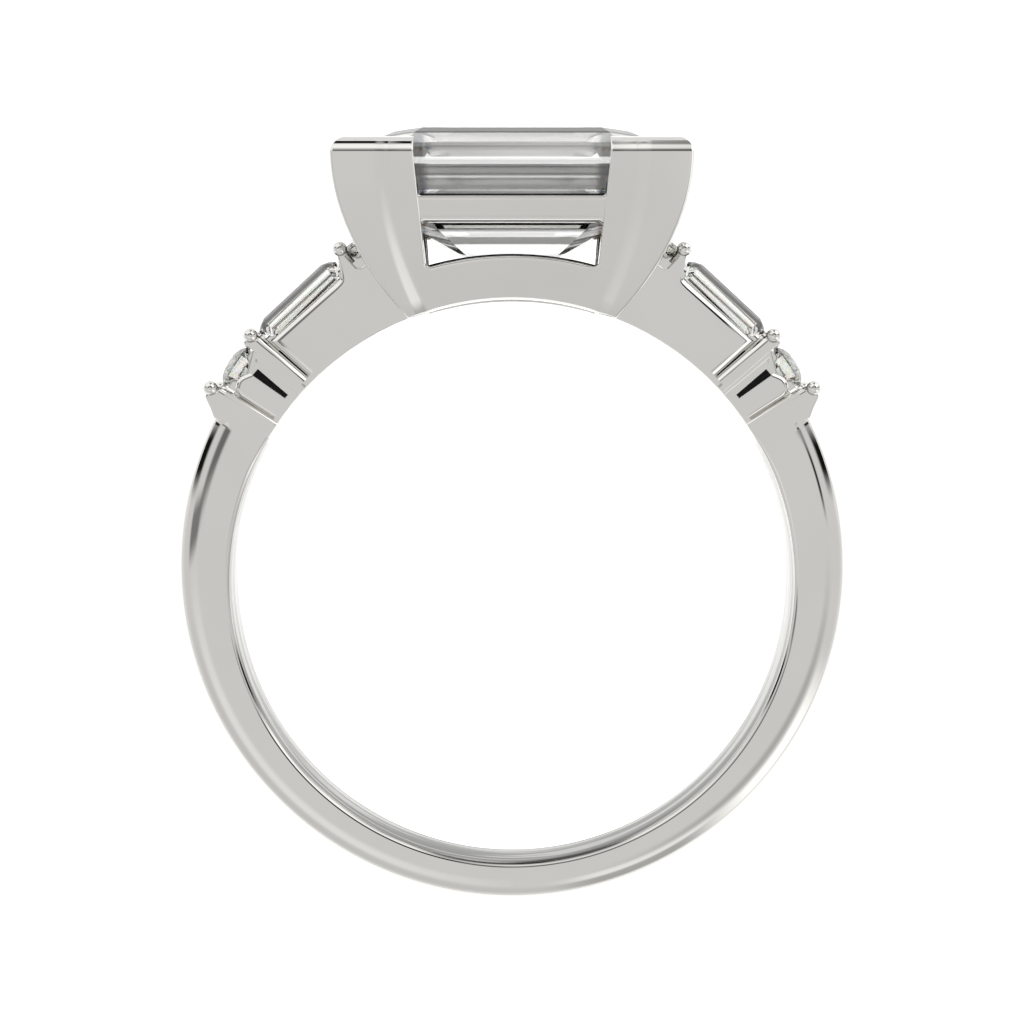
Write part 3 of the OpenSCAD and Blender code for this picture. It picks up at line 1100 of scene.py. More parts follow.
@dataclass(frozen=True)
class Band:
    """The band: a section swept round the finger, thicker towards the shoulders.

    Its rounded outer edge begins at the necks, and its bevel inside starts narrow there.

    Args:
        width: its width along the finger.
        thick: its thickness opposite the centre stone.
        grow: how much thicker it is beside the centre stone, by its circles' offset.
        inner: radius of the bevel along the finger hole.
        crown: how far the rounded outer edge reaches in.
        fall: how far that edge falls back along the finger.
        start: angle in degrees at which the sweep starts, inside the shoulder.
        neck: angle at which the rounded outer edge begins.
        rise: degrees over which that edge grows to its full size.
        slim: the bevel's size at the neck, as a share of its full one.
        slim_run: degrees past the neck between which the bevel grows.
        bend_steps: edges on the bevel.
        crown_steps: edges on the rounded outer edge.
        lip: length of the short straight edge before the rounded one.
        steps: how many sections the sweep has.
    """

    width: float = 1.996
    thick: float = 1.15
    grow: float = 0.4
    inner: float = 0.2
    crown: float = 0.75
    fall: float = 0.48
    start: float = 146.5
    neck: float = 150.3
    rise: float = 1.8
    slim: float = 0.35
    slim_run: Flat = (-3.0, 9.0)
    bend_steps: int = 10
    crown_steps: int = 18
    lip: float = 0.03
    steps: int = 720

    def section(self, bore: float) -> list[Flat]:
        """Draws the section opposite the centre stone.

        Args:
            bore: radius of the finger hole.

        Returns:
            Places outwards and along the finger, round the whole section.
        """
        half = self.width / 2
        inside = [
            (bore + self.inner * (1 - math.sin(a)), half - self.inner * (1 - math.cos(a)))
            for a in reversed(quarter(self.bend_steps))
        ]
        edge = bore + self.thick - self.crown
        side = [(edge - self.lip, half)]
        outside = [
            (edge + self.crown * math.sin(a), half - self.fall * (1 - math.cos(a)))
            for a in quarter(self.crown_steps)
        ]
        half_row = [(bore, 0.0)] + inside + side + outside + [(bore + self.thick, 0.0)]
        return half_row + [(x, -z) for x, z in reversed(half_row[1:-1])]

    def build(self, bench: Bench) -> bpy.types.Object:
        """Sweeps the band with a node tree and settles it.

        Args:
            bench: where the pieces are made.

        Returns:
            The finished band.
        """
        profile = bpy.data.curves.new("band_section", "CURVE")
        profile.dimensions = "3D"
        spline = profile.splines.new("POLY")
        row = self.section(bench.bore)
        spline.points.add(len(row) - 1)
        for point, (out, along) in zip(spline.points, row):
            point.co = (out - bench.bore, along, 0.0, 1.0)
        spline.use_cyclic_u = True
        held = bench.placed("band_section", profile)
        piece = bench.placed("band", bpy.data.meshes.new("band"))
        values = {
            "Section": held,
            "Bore": bench.bore,
            "Start": math.radians(self.start),
            "Sweep": math.radians(540.0 - 2 * self.start),
            "Steps": self.steps,
            "Grow": self.grow,
            "Finish": bench.inside,
        }
        bench.grow(piece, self.tree(), values)
        bpy.data.objects.remove(held)
        return bench.finish(piece, bench.inside)

    def tree(self) -> bpy.types.NodeTree:
        """Builds the sweep: an arc, the section along it, then each point moved by rule.

        Returns:
            The tree, with the band's sizes as its inputs.
        """
        tree, given = node_group(
            "band_sweep",
            {
                "Section": "NodeSocketObject",
                "Bore": "NodeSocketFloat",
                "Start": "NodeSocketFloat",
                "Sweep": "NodeSocketFloat",
                "Steps": "NodeSocketInt",
                "Grow": "NodeSocketFloat",
                "Finish": "NodeSocketMaterial",
            },
        )
        path = tree.add("GeometryNodeCurveArc", mode="RADIUS")
        tree.set(path, "Resolution", given["Steps"])
        tree.set(path, "Radius", given["Bore"])
        tree.set(path, "Start Angle", given["Start"])
        tree.set(path, "Sweep Angle", given["Sweep"])
        cut = tree.add("GeometryNodeObjectInfo")
        tree.set(cut, "Object", given["Section"])
        skin = tree.add("GeometryNodeCurveToMesh")
        tree.set(skin, 0, path.outputs["Curve"])
        tree.set(skin, "Profile Curve", cut.outputs["Geometry"])
        tree.set(skin, "Fill Caps", True)
        moved = tree.add("GeometryNodeSetPosition")
        tree.set(moved, "Geometry", skin.outputs[0])
        tree.set(moved, "Position", self.rule(tree, given))
        finish_group(tree, moved.outputs[0], given["Finish"])
        return tree.tree

    def rule(self, tree: Tree, given: bpy.types.NodeOutputs) -> Socket:
        """Where each point of the swept section goes.

        Args:
            tree: the tree that the nodes go into.
            given: the tree's inputs.

        Returns:
            The new position.
        """
        x, y, z = tree.parts(tree.add("GeometryNodeInputPosition").outputs[0])
        radius = tree.length(x, y)
        sine = tree.math("DIVIDE", y, radius)
        cosine = tree.math("DIVIDE", x, radius)
        base = tree.math("ADD", given["Bore"], self.thick)
        square = tree.math("MULTIPLY", given["Grow"], given["Grow"])
        share = tree.math("DIVIDE", square, tree.math("MULTIPLY", base, 2.0))
        offset = tree.math("ADD", given["Grow"], share)
        outer = tree.math("ADD", base, offset)
        across = tree.math("MULTIPLY", offset, cosine)
        whole, leg = (tree.math("MULTIPLY", value, value) for value in (outer, across))
        gap = tree.math("SUBTRACT", whole, leg)
        edge = tree.math("ADD", tree.math("SQRT", gap), tree.math("MULTIPLY", offset, sine))
        from_neck = tree.math("SUBTRACT", 180.0 - self.neck, tree.math("DEGREES", tree.math("ARCSINE", sine)))
        share = tree.math("DIVIDE", from_neck, self.rise)
        less = tree.math("SUBTRACT", 1.0, tree.math("MINIMUM", tree.math("MAXIMUM", share, 0.0), 1.0))
        crown = tree.math("SQRT", tree.math("SUBTRACT", 1.0, tree.math("MULTIPLY", less, less)))
        inward = tree.math("SUBTRACT", base, radius)
        rounded_edge = tree.math("LESS_THAN", inward, self.crown + self.lip + SLACK)
        curved_part = tree.math("MULTIPLY", tree.math("MINIMUM", inward, self.crown), crown)
        flat_part = tree.math("MAXIMUM", tree.math("SUBTRACT", inward, self.crown), 0.0)
        outside = tree.math("SUBTRACT", tree.math("SUBTRACT", edge, curved_part), flat_part)
        depth = tree.math("SUBTRACT", radius, given["Bore"])
        bevel = tree.mix(tree.ease(from_neck, *self.slim_run), self.slim, 1.0)
        inside = tree.math("ADD", given["Bore"], tree.math("MULTIPLY", depth, bevel))
        out = tree.mix(rounded_edge, inside, outside)
        half = self.width / 2
        size = tree.math("ABSOLUTE", z)
        lower = tree.math("SUBTRACT", half, size)
        scale = tree.mix(rounded_edge, bevel, crown)
        curved = tree.math("SUBTRACT", half, tree.math("MULTIPLY", lower, scale))
        flat = tree.math("LESS_THAN", size, SLACK)
        level = tree.math("MULTIPLY", curved, tree.math("SUBTRACT", 1.0, flat))
        pairs = ((out, cosine), (out, sine), (level, tree.math("SIGN", z)))
        return tree.joined(*(tree.math("MULTIPLY", *pair) for pair in pairs))


# Where the stones sit and the prongs' balls stand, counted from the middle of the finger hole.
BAGUETTE = Spot(6.30, 8.30, 42.9)
ROUND_INNER = Spot(4.60, 9.87, 33.5)
ROUND_OUTER = Spot(8.19, 6.29, 57.7)
TIP_A = Spot(5.04, 9.71, 33.5)
TIP_B = Spot(7.66, 7.17, 48.8)
TIP_C = Spot(8.83, 5.63, 61.0)


@dataclass(frozen=True)
class Prongs:
    """The ball tips of the prongs and the stems that they stand on.

    Args:
        ball: radius of a ball.
        stem: radius of a stem.
        along: how far from the middle the balls lie along the finger.
        foot: how far a stem reaches down.
        sink: how far its foot leans inwards.
        turns: faces round a ball and a stem.
        rings: rows of faces on a ball.
    """

    ball: float = 0.215
    stem: float = 0.155
    along: float = 0.98
    foot: float = 0.42
    sink: float = 0.32
    turns: int = 28
    rings: int = 18

    def build(self, bench: Bench) -> bpy.types.Object:
        """Grows every prong from a line with a node tree.

        Args:
            bench: where the pieces are made.

        Returns:
            The finished prongs as one piece.
        """
        mesh = bpy.data.meshes.new("prongs")
        points: list[Point] = []
        edges: list[tuple[int, int]] = []
        for tip in (TIP_A, TIP_B, TIP_C):
            for side in Side:
                for end in (-1, 1):
                    for down, inwards in ((0.0, 0.0), (self.foot, self.sink)):
                        x, y = tip.at(-down, 0.0)
                        points.append((-x * side.value, y, end * (self.along - inwards)))
                    edges.append((len(points) - 2, len(points) - 1))
        mesh.from_pydata(points, edges, [])
        piece = bench.placed("prongs", mesh)
        values = {"Ball": self.ball, "Stem": self.stem, "Turns": self.turns, "Finish": bench.beads}
        bench.grow(piece, self.tree(), values)
        return bench.finish(piece, bench.beads)

    def tree(self) -> bpy.types.NodeTree:
        """Builds a stem along each line and a ball at its start.

        Returns:
            The tree, with the prongs' sizes as its inputs.
        """
        tree, given = node_group(
            "prong_growth",
            {
                "Lines": "NodeSocketGeometry",
                "Ball": "NodeSocketFloat",
                "Stem": "NodeSocketFloat",
                "Turns": "NodeSocketInt",
                "Finish": "NodeSocketMaterial",
            },
        )
        lines = tree.add("GeometryNodeMeshToCurve")
        tree.set(lines, 0, given["Lines"])
        ring = tree.add("GeometryNodeCurvePrimitiveCircle", mode="RADIUS")
        tree.set(ring, "Resolution", given["Turns"])
        tree.set(ring, "Radius", given["Stem"])
        stems = tree.add("GeometryNodeCurveToMesh")
        tree.set(stems, 0, lines.outputs[0])
        tree.set(stems, "Profile Curve", ring.outputs[0])
        tree.set(stems, "Fill Caps", True)
        ball = tree.add("GeometryNodeMeshUVSphere")
        tree.set(ball, "Segments", given["Turns"])
        tree.set(ball, "Rings", self.rings)
        tree.set(ball, "Radius", given["Ball"])
        ends = tree.add("GeometryNodeCurveEndpointSelection")
        tree.set(ends, "End Size", 0)
        balls = tree.add("GeometryNodeInstanceOnPoints")
        tree.set(balls, "Points", lines.outputs[0])
        tree.set(balls, "Selection", ends.outputs[0])
        tree.set(balls, "Instance", ball.outputs[0])
        both = tree.add("GeometryNodeJoinGeometry")
        tree.set(both, 0, stems.outputs[0])
        tree.set(both, 0, balls.outputs[0])
        finish_group(tree, both.outputs[0], given["Finish"])
        return tree.tree


@dataclass(frozen=True)
class Shoulder:
    """One shoulder: its core, its two flat plates, the prongs' bars and the neck to the band.

    Args:
        core: half its core's depth along the finger.
        plate: half the depth over the baguette's plate and the prongs' bars.
        strip: half the depth over the strip beside the middle prong's bar.
        low_plate: half the depth over the outer round's plate.
        bevel: radius of the edge along the finger hole.
        hole_step: degrees that one short edge along the finger hole spans.
        slot_deep: how deep the slot in the outer plate is.
        groove_deep: how deep the grooves beside the bars are.
    """

    core: float = 0.8
    plate: float = 1.0
    strip: float = 0.985
    low_plate: float = 0.965
    bevel: float = 0.05
    hole_step: float = 3.6
    slot_deep: float = 0.05
    groove_deep: float = 0.15

    def build(self, bench: Bench) -> None:
        """Makes both shoulders.

        Args:
            bench: where the pieces are made.
        """
        bore = bench.bore
        parts = (
            ("shoulder_core", self.core_outline(bore), self.core),
            ("baguette_plate", self.plate_outline(bore), self.plate),
            ("middle_prong_bar", self.middle_bar(bore), self.plate),
            ("middle_prong_strip", self.middle_strip(bore), self.strip),
            ("outer_plate", self.outer_outline(bore), self.low_plate),
            ("outer_prong_bar", self.outer_bar(bore), self.plate),
            ("outer_round_seat", self.seat(ROUND_OUTER, -0.14, 0.64), 0.42),
            ("baguette_seat", self.seat(BAGUETTE, -0.2, 1.58), 0.42),
            ("inner_round_seat", self.seat(ROUND_INNER, -0.2, 0.5), 0.3),
        )
        for name, outline, half in parts:
            bench.pair(name, Slab(outline, half, -half).shell())
        self.recess(bench)

    def bore_run(self, bore: float, start: Flat, stop: Flat, after: float = 0.0) -> list[Corner]:
        """The edge along the finger hole between the angles of two points.

        Args:
            bore: radius of the edge.
            start: a point at the angle where it starts.
            stop: a point at the angle where it stops.
            after: roll of the edge that follows it.

        Returns:
            The corners, from the band's side to the centre stone's.
        """
        first = math.degrees(math.atan2(start[1], start[0]))
        last = math.degrees(math.atan2(stop[1], stop[0]))
        run = arc(bore, first, last, self.bevel, max(1, round(abs(last - first) / self.hole_step)))
        return run[:-1] + [Corner(run[-1].x, run[-1].y, 0.0, after)]

    def core_outline(self, bore: float) -> list[Corner]:
        """Draws the body behind the plates, from inside the bezel to the neck.

        Args:
            bore: radius of the finger hole.

        Returns:
            The outline.
        """
        run = self.bore_run(bore, TIP_C.at(-2.2, -0.6), (-3.2, 7.6))
        return run + [
            Corner(-3.2, 9.0),
            ROUND_INNER.corner(-0.42, 0.35),
            ROUND_INNER.corner(-0.42, -0.5, 0.0, 0.05),
            BAGUETTE.corner(-0.45, 1.525, 0.0, 0.05),
            BAGUETTE.corner(-0.45, -1.5, 0.0, 0.05),
            TIP_B.corner(-0.25, -0.1, 0.0, 0.05),
            TIP_B.corner(-0.3, -0.3, 0.0, 0.05),
            ROUND_OUTER.corner(-0.42, 0.1, 0.0, 0.05),
            ROUND_OUTER.corner(-0.42, -0.55, 0.0, 0.05),
            TIP_C.corner(-0.6, -0.1, 0.0, 0.05),
            TIP_C.corner(-1.3, -0.5),
        ]

    def plate_outline(self, bore: float) -> list[Corner]:
        """Draws the plate under the baguette, from the middle prong's groove to the bezel.

        Args:
            bore: radius of the finger hole.

        Returns:
            The outline.
        """
        run = self.bore_run(bore, TIP_B.at(-2.2, -0.1), (-2.9, 7.7))
        return run + [
            Corner(-2.9, 8.9),
            Corner(-3.9, 9.32, 0.0, 0.05),
            Corner(-4.27, 9.26, 0.0, 0.05),
            Corner(-4.40, 9.165, 0.07, 0.05),
            Corner(-4.56, 9.165, 0.09, 0.05),
            Corner(-4.85, 9.47, 0.0, 0.05),
            TIP_A.corner(-0.16, 0.06, 0.0, 0.05),
            TIP_A.corner(-0.10, -0.17, 0.0, 0.05),
            TIP_A.corner(-0.25, -0.235, 0.0, 0.1),
            BAGUETTE.corner(-0.42, 1.37, 0.1, 0.26),
            TIP_B.corner(-0.50, 0.2, 0.0, 0.30),
            TIP_B.corner(-2.07, 0.18),
            TIP_B.corner(-2.07, -0.1),
        ]

    def middle_bar(self, bore: float) -> list[Corner]:
        """Draws the middle prong's bar, which its ball sits on.

        Args:
            bore: radius of the finger hole.

        Returns:
            The outline.
        """
        run = self.bore_run(bore, TIP_B.at(-2.32, -0.28), TIP_B.at(-2.32, 0.22), 0.26)
        return run + [
            TIP_B.corner(-0.36, 0.22, 0.0, 0.08),
            TIP_B.corner(-0.10, -0.02, 0.0, 0.08),
            TIP_B.corner(0.06, -0.19, 0.11, 0.08),
            TIP_B.corner(-0.01, -0.36, 0.11, 0.08),
            TIP_B.corner(-0.3, -0.28, 0.0, 0.03),
        ]

    def middle_strip(self, bore: float) -> list[Corner]:
        """Draws the narrow strip beside that bar.

        Args:
            bore: radius of the finger hole.

        Returns:
            The outline.
        """
        run = self.bore_run(bore, TIP_B.at(-2.2, -0.37), TIP_B.at(-2.2, -0.1))
        return run + [
            TIP_B.corner(-0.5, -0.1),
            TIP_B.corner(-0.5, -0.41, 0.0, 0.04),
        ]

    def outer_outline(self, bore: float) -> list[Corner]:
        """Draws the plate under the outer round, with the slot beside the middle prong.

        Args:
            bore: radius of the finger hole.

        Returns:
            The outline.
        """
        run = self.bore_run(bore, TIP_C.at(-2.2, -0.2), TIP_B.at(-2.2, -0.2))
        return run + [
            TIP_B.corner(-0.5, -0.2, 0.0, 0.05),
            TIP_B.corner(-0.55, -0.42, 0.0, 0.05),
            TIP_B.corner(-0.70, -0.598, 0.0, 0.02),
            TIP_B.corner(-1.957, -0.585, 0.0, 0.02),
            TIP_B.corner(-1.961, -0.711, 0.0, 0.02),
            TIP_B.corner(-0.67, -0.84, 0.0, 0.17),
            Corner(-8.561, 5.730, 0.39, 0.17),
            TIP_C.corner(-2.06, 0.10),
            TIP_C.corner(-2.06, -0.2),
        ]

    def outer_bar(self, bore: float) -> list[Corner]:
        """Draws the outer prong's bar with the neck down to the band.

        Args:
            bore: radius of the finger hole.

        Returns:
            The outline.
        """
        return [
            *self.bore_run(bore, TIP_C.at(-2.3, -0.45), TIP_C.at(-2.3, 0.12), 0.2),
            TIP_C.corner(-0.38, 0.2, 0.0, 0.08),
            TIP_C.corner(-0.10, -0.02, 0.0, 0.08),
            TIP_C.corner(0.12, -0.24, 0.14, 0.08),
            TIP_C.corner(-0.27, -0.52, 0.2, 0.08),
            TIP_C.corner(-0.48, -0.70),
        ]

    def seat(self, spot: Spot, up: float, half: float) -> list[Corner]:
        """The metal behind a stone's ends, between its seat and its prongs.

        Args:
            spot: the stone's place.
            up: how far up it reaches.
            half: half its length along the band.

        Returns:
            Its outline.
        """
        low, bed, roll, top_in, foot_in = -0.6, -0.46, 0.05, 0.25, 0.45
        top, foot = half - top_in, half - foot_in
        return [
            spot.corner(low, -half),
            spot.corner(low, half),
            spot.corner(up, half, 0.0, roll),
            spot.corner(up, top, 0.0, roll),
            spot.corner(bed, foot, 0.0, roll),
            spot.corner(bed, -foot, 0.0, roll),
            spot.corner(up, -top, 0.0, roll),
            spot.corner(up, -half),
        ]

    def recess(self, bench: Bench) -> None:
        """Makes painted shade: dark floors in the slot of each outer plate and in the grooves beside the
        prongs' bars.

        Args:
            bench: where the pieces are made.
        """
        slot = [(-0.8, -0.55), (-0.8, -0.87), (-2.02, -0.76), (-2.02, -0.55)]
        middle = [(-0.9, 0.215), (-1.2, 0.18), (-1.95, 0.15), (-2.0, 0.2), (-1.9, 0.25)]
        outer = [(-0.7, 0.17), (-1.2, 0.11), (-1.95, 0.07), (-2.0, 0.11), (-1.9, 0.15)]
        floors = (
            ("slot_floor", TIP_B, slot, self.low_plate - self.slot_deep),
            ("middle_groove_floor", TIP_B, middle, self.plate - self.groove_deep),
            ("outer_groove_floor", TIP_C, outer, self.plate - self.groove_deep),
        )
        for name, spot, places, level in floors:
            shell = Slab([spot.corner(up, side) for up, side in places], level, -level).shell()
            # The dark floors are painted shade.
            bench.pair(name, shell, bench.dark)


@dataclass(frozen=True)
class CentreSetting:
    """The centre stone's setting: two half bezels, a frame with an arch in front and behind, two rails.

    Heights are counted from the middle of the finger hole.

    Args:
        bore: radius of the finger hole.
        rim_l: half length over the half bezels at the rim.
        rim_w: half depth along the finger at the rim.
        rim_h: height of the rim.
        rim_r: radius of the rounded rim.
        rim_edge: degrees by which the rim's round starts later than upright.
        wall: thickness of a half bezel.
        foot_edge: radius of a half bezel's edge along the finger hole.
        base_w: half depth at the foot.
        base_h: height of the foot.
        end_curve: how fast the ends draw in below curve_h.
        crease_x: place of the crease where a half bezel rises out of the frame.
        crease_curve: how fast the crease draws in below curve_h.
        ramp: width of that crease's slope.
        curve_h: height below which both draw in.
        corner_r: radius of the half bezels' upright corners.
        step: how far the frame lies behind the half bezels' faces at curve_h.
        step_grow: how fast that grows downwards.
        blend: how far a half bezel's thin side lies behind the frame's face.
        overlap: how far the frame reaches in behind a half bezel.
        frame_thick: thickness of the frame.
        arch_r: radius of the arch's upper edge.
        rail_low: height of the rail's lower edge.
        rail_high: height of its upper edge.
        rail_sunk: how far the rail lies behind the frame's face.
        rail_thick: its thickness.
        open_w: half width of the opening at the rim.
        open_slope: how fast it narrows downwards.
    """

    bore: float = 8.25
    rim_l: float = 5.12
    rim_w: float = 3.57
    rim_h: float = 12.73
    rim_r: float = 0.58
    rim_edge: float = 8.0
    wall: float = 0.78
    foot_edge: float = 0.045
    base_w: float = 1.4
    base_h: float = 8.25
    end_curve: float = 0.105
    crease_x: float = 3.71
    crease_curve: float = 0.058
    ramp: float = 0.5
    curve_h: float = 12.1
    corner_r: float = 0.1
    step: float = 0.02
    step_grow: float = 0.013
    blend: float = 0.003
    overlap: float = 0.1
    frame_thick: float = 0.74
    arch_r: float = 9.45
    rail_low: float = 10.37
    rail_high: float = 11.11
    rail_sunk: float = 0.07
    rail_thick: float = 0.5
    open_w: float = 2.82
    open_slope: float = 0.09

    @property
    def roll_h(self) -> float:
        """Height at which the faces end and the rounded rim begins."""
        return self.rim_h - self.rim_r * (1 - math.sin(math.radians(self.rim_edge)))

    @property
    def flare(self) -> float:
        """How much the setting deepens for each millimetre up."""
        return (self.rim_w - self.base_w) / (self.roll_h - self.base_h)

    def end_at(self, h: float) -> float:
        """Half length at a height."""
        return self.rim_l - self.end_curve * max(0.0, self.curve_h - h) ** 2

    def crease_at(self, h: float) -> float:
        """Where the half bezel rises out of the frame, at a height."""
        return self.crease_x - self.crease_curve * max(0.0, self.curve_h - h) ** 2

    def depth_at(self, h: float) -> float:
        """Half depth at a height."""
        return self.base_w + self.flare * (h - self.base_h)

    def step_at(self, h: float) -> float:
        """How far the frame lies behind the half bezels' faces at a height."""
        return self.step + self.step_grow * (self.curve_h - h)

    def opening_at(self, h: float) -> float:
        """Half width of the opening between the half bezels at a height."""
        return self.open_w - self.open_slope * (self.rim_h - h)

    def path(self, h: float, d: float) -> list[Flat]:
        """The half bezel's line in plan at height h, moved in by d, from front to back.

        Args:
            h: height.
            d: distance in from the outside.

        Returns:
            Places across and along the finger, the same number at every height.
        """
        length, depth = self.end_at(h) - d, self.depth_at(h) - d
        crease, step, start = self.crease_at(h), self.step_at(h), self.opening_at(h)
        least, near, far = 0.03, 0.02, 0.03
        radius = max(self.corner_r - d, least)
        edge, edge_steps, ramp_steps, corner_steps = 0.045, 5, 10, 9
        low = depth - step - self.blend
        row = [
            (start + edge * (1 - math.cos(a)), low - edge * (1 - math.sin(a)))
            for a in quarter(edge_steps)
        ]
        row.append((start + edge + near, low))
        row.append((crease - self.ramp / 2 - far, low))
        for t in [k / ramp_steps for k in range(ramp_steps + 1)]:
            rise = t * t * (3 - 2 * t)
            row.append((crease + self.ramp * (t - 0.5), depth - step * (1 - rise)))
        row.append((length - radius - near, depth))
        for a in quarter(corner_steps):
            row.append((length - radius * (1 - math.sin(a)), depth - radius * (1 - math.cos(a))))
        row.append((length, depth - radius - far))
        return row + [(x, -z) for x, z in reversed(row)]

    def foot(self, station: int, d: float) -> float:
        """Finds where a line of the half bezel meets the finger hole.

        Args:
            station: which point of the line in plan it belongs to.
            d: distance in from the outside.

        Returns:
            The height of that place.
        """
        h, rounds, widest = self.bore, 30, self.bore - 1
        for _ in range(rounds):
            x = self.path(h, d)[station][0]
            h = math.sqrt(self.bore ** 2 - min(x, widest) ** 2)
        return h

    def loop(self, station: int) -> list[Point]:
        """The wall's section at a station: up the outside, over the rim and down the inside.

        Args:
            station: which point of the line in plan it belongs to.

        Returns:
            The section's points.
        """
        def point(h: float, d: float) -> Point:
            """The station's place at height h, moved in by d."""
            x, z = self.path(h, d)[station]
            return (x, h, z)

        edge, edge_steps, face_rows, rim_steps, back_rows = self.foot_edge, 4, 14, 32, 8
        low = self.foot(station, 0.0)
        turns = quarter(edge_steps)
        points = [point(low + edge * (1 - math.cos(a)), edge * (1 - math.sin(a))) for a in turns]
        reach = self.roll_h - low - edge
        points += [point(low + edge + reach * k / face_rows, 0.0) for k in range(1, face_rows)]
        first = math.radians(self.rim_edge)
        middle = self.rim_r * math.cos(first)
        for k in range(rim_steps + 1):
            a = first + (math.pi - first) * k / rim_steps
            d = middle - self.rim_r * math.cos(a)
            if a > math.pi / 2:
                d = middle - (self.wall - middle) * math.cos(a)
            x, z = self.path(self.roll_h, d)[station]
            points.append((x, self.roll_h + self.rim_r * (math.sin(a) - math.sin(first)), z))
        drop = self.foot(station, self.wall) - self.roll_h
        points += [point(self.roll_h + drop * k / back_rows, self.wall) for k in range(1, back_rows + 1)]
        return points

    def half_bezel(self) -> Shell:
        """One half bezel, on the right side of the ring."""
        return Shell().loft([self.loop(i) for i in range(len(self.path(self.roll_h, 0.0)))])

    def tilted(self, sunk: float, sign: int) -> Lay:
        """Lays an outline on the sloping front or back of the frame, a little below its face.

        Args:
            sunk: how far below.
            sign: 1 in front, -1 behind.

        Returns:
            The place of a point across, up and below that face.
        """
        slope = math.atan(self.flare + self.step_grow)

        def lay(x: float, h: float, z: float) -> Point:
            """The place of a point across, up and z below the face that is sunk."""
            face = self.depth_at(h) - self.step_at(h)
            return (x, h, sign * (face - (z + sunk) / math.cos(slope)))

        return lay

    def backed(self, outline: list[Corner], sunk: float, thick: float, sign: int, steps: int = 7) -> Shell:
        """Makes a plate of even thickness, sunk behind the sloping front (sign 1) or back (sign -1)."""
        lay = self.tilted(sunk, sign)
        return Slab(outline, 0.0, 0.0, steps).shell(lay, lambda x, h, z: lay(x, h, thick - z))

    def arch_frame(self, sign: int) -> Shell:
        """The frame between the half bezels: the arch over the finger and the opening's two sides.

        Args:
            sign: 1 in front, -1 behind.

        Returns:
            The frame.
        """
        bend, roll, arch_roll, hole_roll = 0.14, 0.075, 0.13, 0.05
        top, low, hole_steps, arch_steps = self.roll_h, 7.6, 36, 30
        corner_drop, lap = 0.3, 0.25
        heights = (8.0, 8.8, 9.6, 10.6, 11.6, top)
        right = [Corner(self.crease_at(h) + self.overlap, h) for h in heights]
        right.append(Corner(self.opening_at(top), top, 0.0, roll))
        inner = self.opening_at(self.arch_r - corner_drop)
        right.append(Corner(inner, math.sqrt(self.arch_r ** 2 - inner ** 2), bend, roll))
        first = math.degrees(math.acos((self.crease_at(low) + self.overlap) / self.bore))
        hole = arc(self.bore, 180.0 - first, first, hole_roll, hole_steps)
        corners = [
            Corner(c.x, c.y, 0.0, min(hole_roll, hole_roll / 2 * min(i, hole_steps - 1 - i)))
            for i, c in enumerate(hole[:-1])
        ]
        corners.append(Corner(hole[-1].x, hole[-1].y))
        corners += right
        edge = math.degrees(math.acos((inner - lap) / self.arch_r))
        corners += arc(self.arch_r, edge, 180.0 - edge, arch_roll, arch_steps)
        left = [Corner(-c.x, c.y, c.bend) for c in reversed(right)]
        left[0] = Corner(left[0].x, left[0].y, left[0].bend, roll)
        return self.backed(corners + left, 0.0, self.frame_thick, sign, 12)

    def rail(self, sign: int) -> Shell:
        """A gallery rail.

        Args:
            sign: 1 in front, -1 behind.

        Returns:
            The rail.
        """
        bend, roll, spare = 0.12, 0.15, 0.2
        low, high = self.opening_at(self.rail_low), self.opening_at(self.rail_high)
        corners = [
            Corner(-low - spare, self.rail_low - spare),
            Corner(-low, self.rail_low - spare, 0.0, roll),
            Corner(-low, self.rail_low, bend, roll),
            Corner(low, self.rail_low, bend, roll),
            Corner(low, self.rail_low - spare),
            Corner(low + spare, self.rail_low - spare),
            Corner(high + spare, self.rail_high + spare),
            Corner(high, self.rail_high + spare, 0.0, roll),
            Corner(high, self.rail_high, bend, roll),
            Corner(-high, self.rail_high, bend, roll),
            Corner(-high, self.rail_high + spare),
            Corner(-high - spare, self.rail_high + spare),
        ]
        return self.backed(corners, self.rail_sunk, self.rail_thick, sign)

    def inside(self, sign: int) -> list[Shell]:
        """Makes dark sheets behind the rail and the arch, painted shade that draws dark lines round the
        windows.

        Args:
            sign: 1 in front, -1 behind.

        Returns:
            The two backs.
        """
        proud, over, deep, sunk, thick = 0.05, 0.03, 0.7, 0.19, 0.2
        reach, arch_steps = 16.6, 20
        half = self.open_w + self.overlap
        low, high, foot = self.rail_low + proud, self.rail_high + over, self.arch_r - deep
        run = arc(self.arch_r + proud, 90.0 - reach, 90.0 + reach, 0.0, arch_steps)
        arch = [Corner(c.x, c.y) for c in run]
        outlines = (
            [Corner(-half, low), Corner(half, low), Corner(half, high), Corner(-half, high)],
            [Corner(-half, foot), Corner(half, foot), *arch],
        )
        return [self.backed(outline, sunk, thick, sign) for outline in outlines]

    def build(self, bench: Bench) -> None:
        """Makes the setting's pieces.

        Args:
            bench: where the pieces are made.
        """
        half = self.half_bezel()
        for side in Side:
            shell = half if side is Side.RIGHT else half.mirrored()
            bench.metal(f"half_bezel_{side.word}", shell)
        for sign, word in ((1, "front"), (-1, "back")):
            bench.metal(f"frame_{word}", self.arch_frame(sign), bench.frames)
            bench.metal(f"gallery_rail_{word}", self.rail(sign))
            # The dark sheets behind the rail and the arch are painted shade.
            for back, shell in zip(("rail", "arch"), self.inside(sign)):
                bench.metal(f"{back}_inside_{word}", shell, bench.dark)


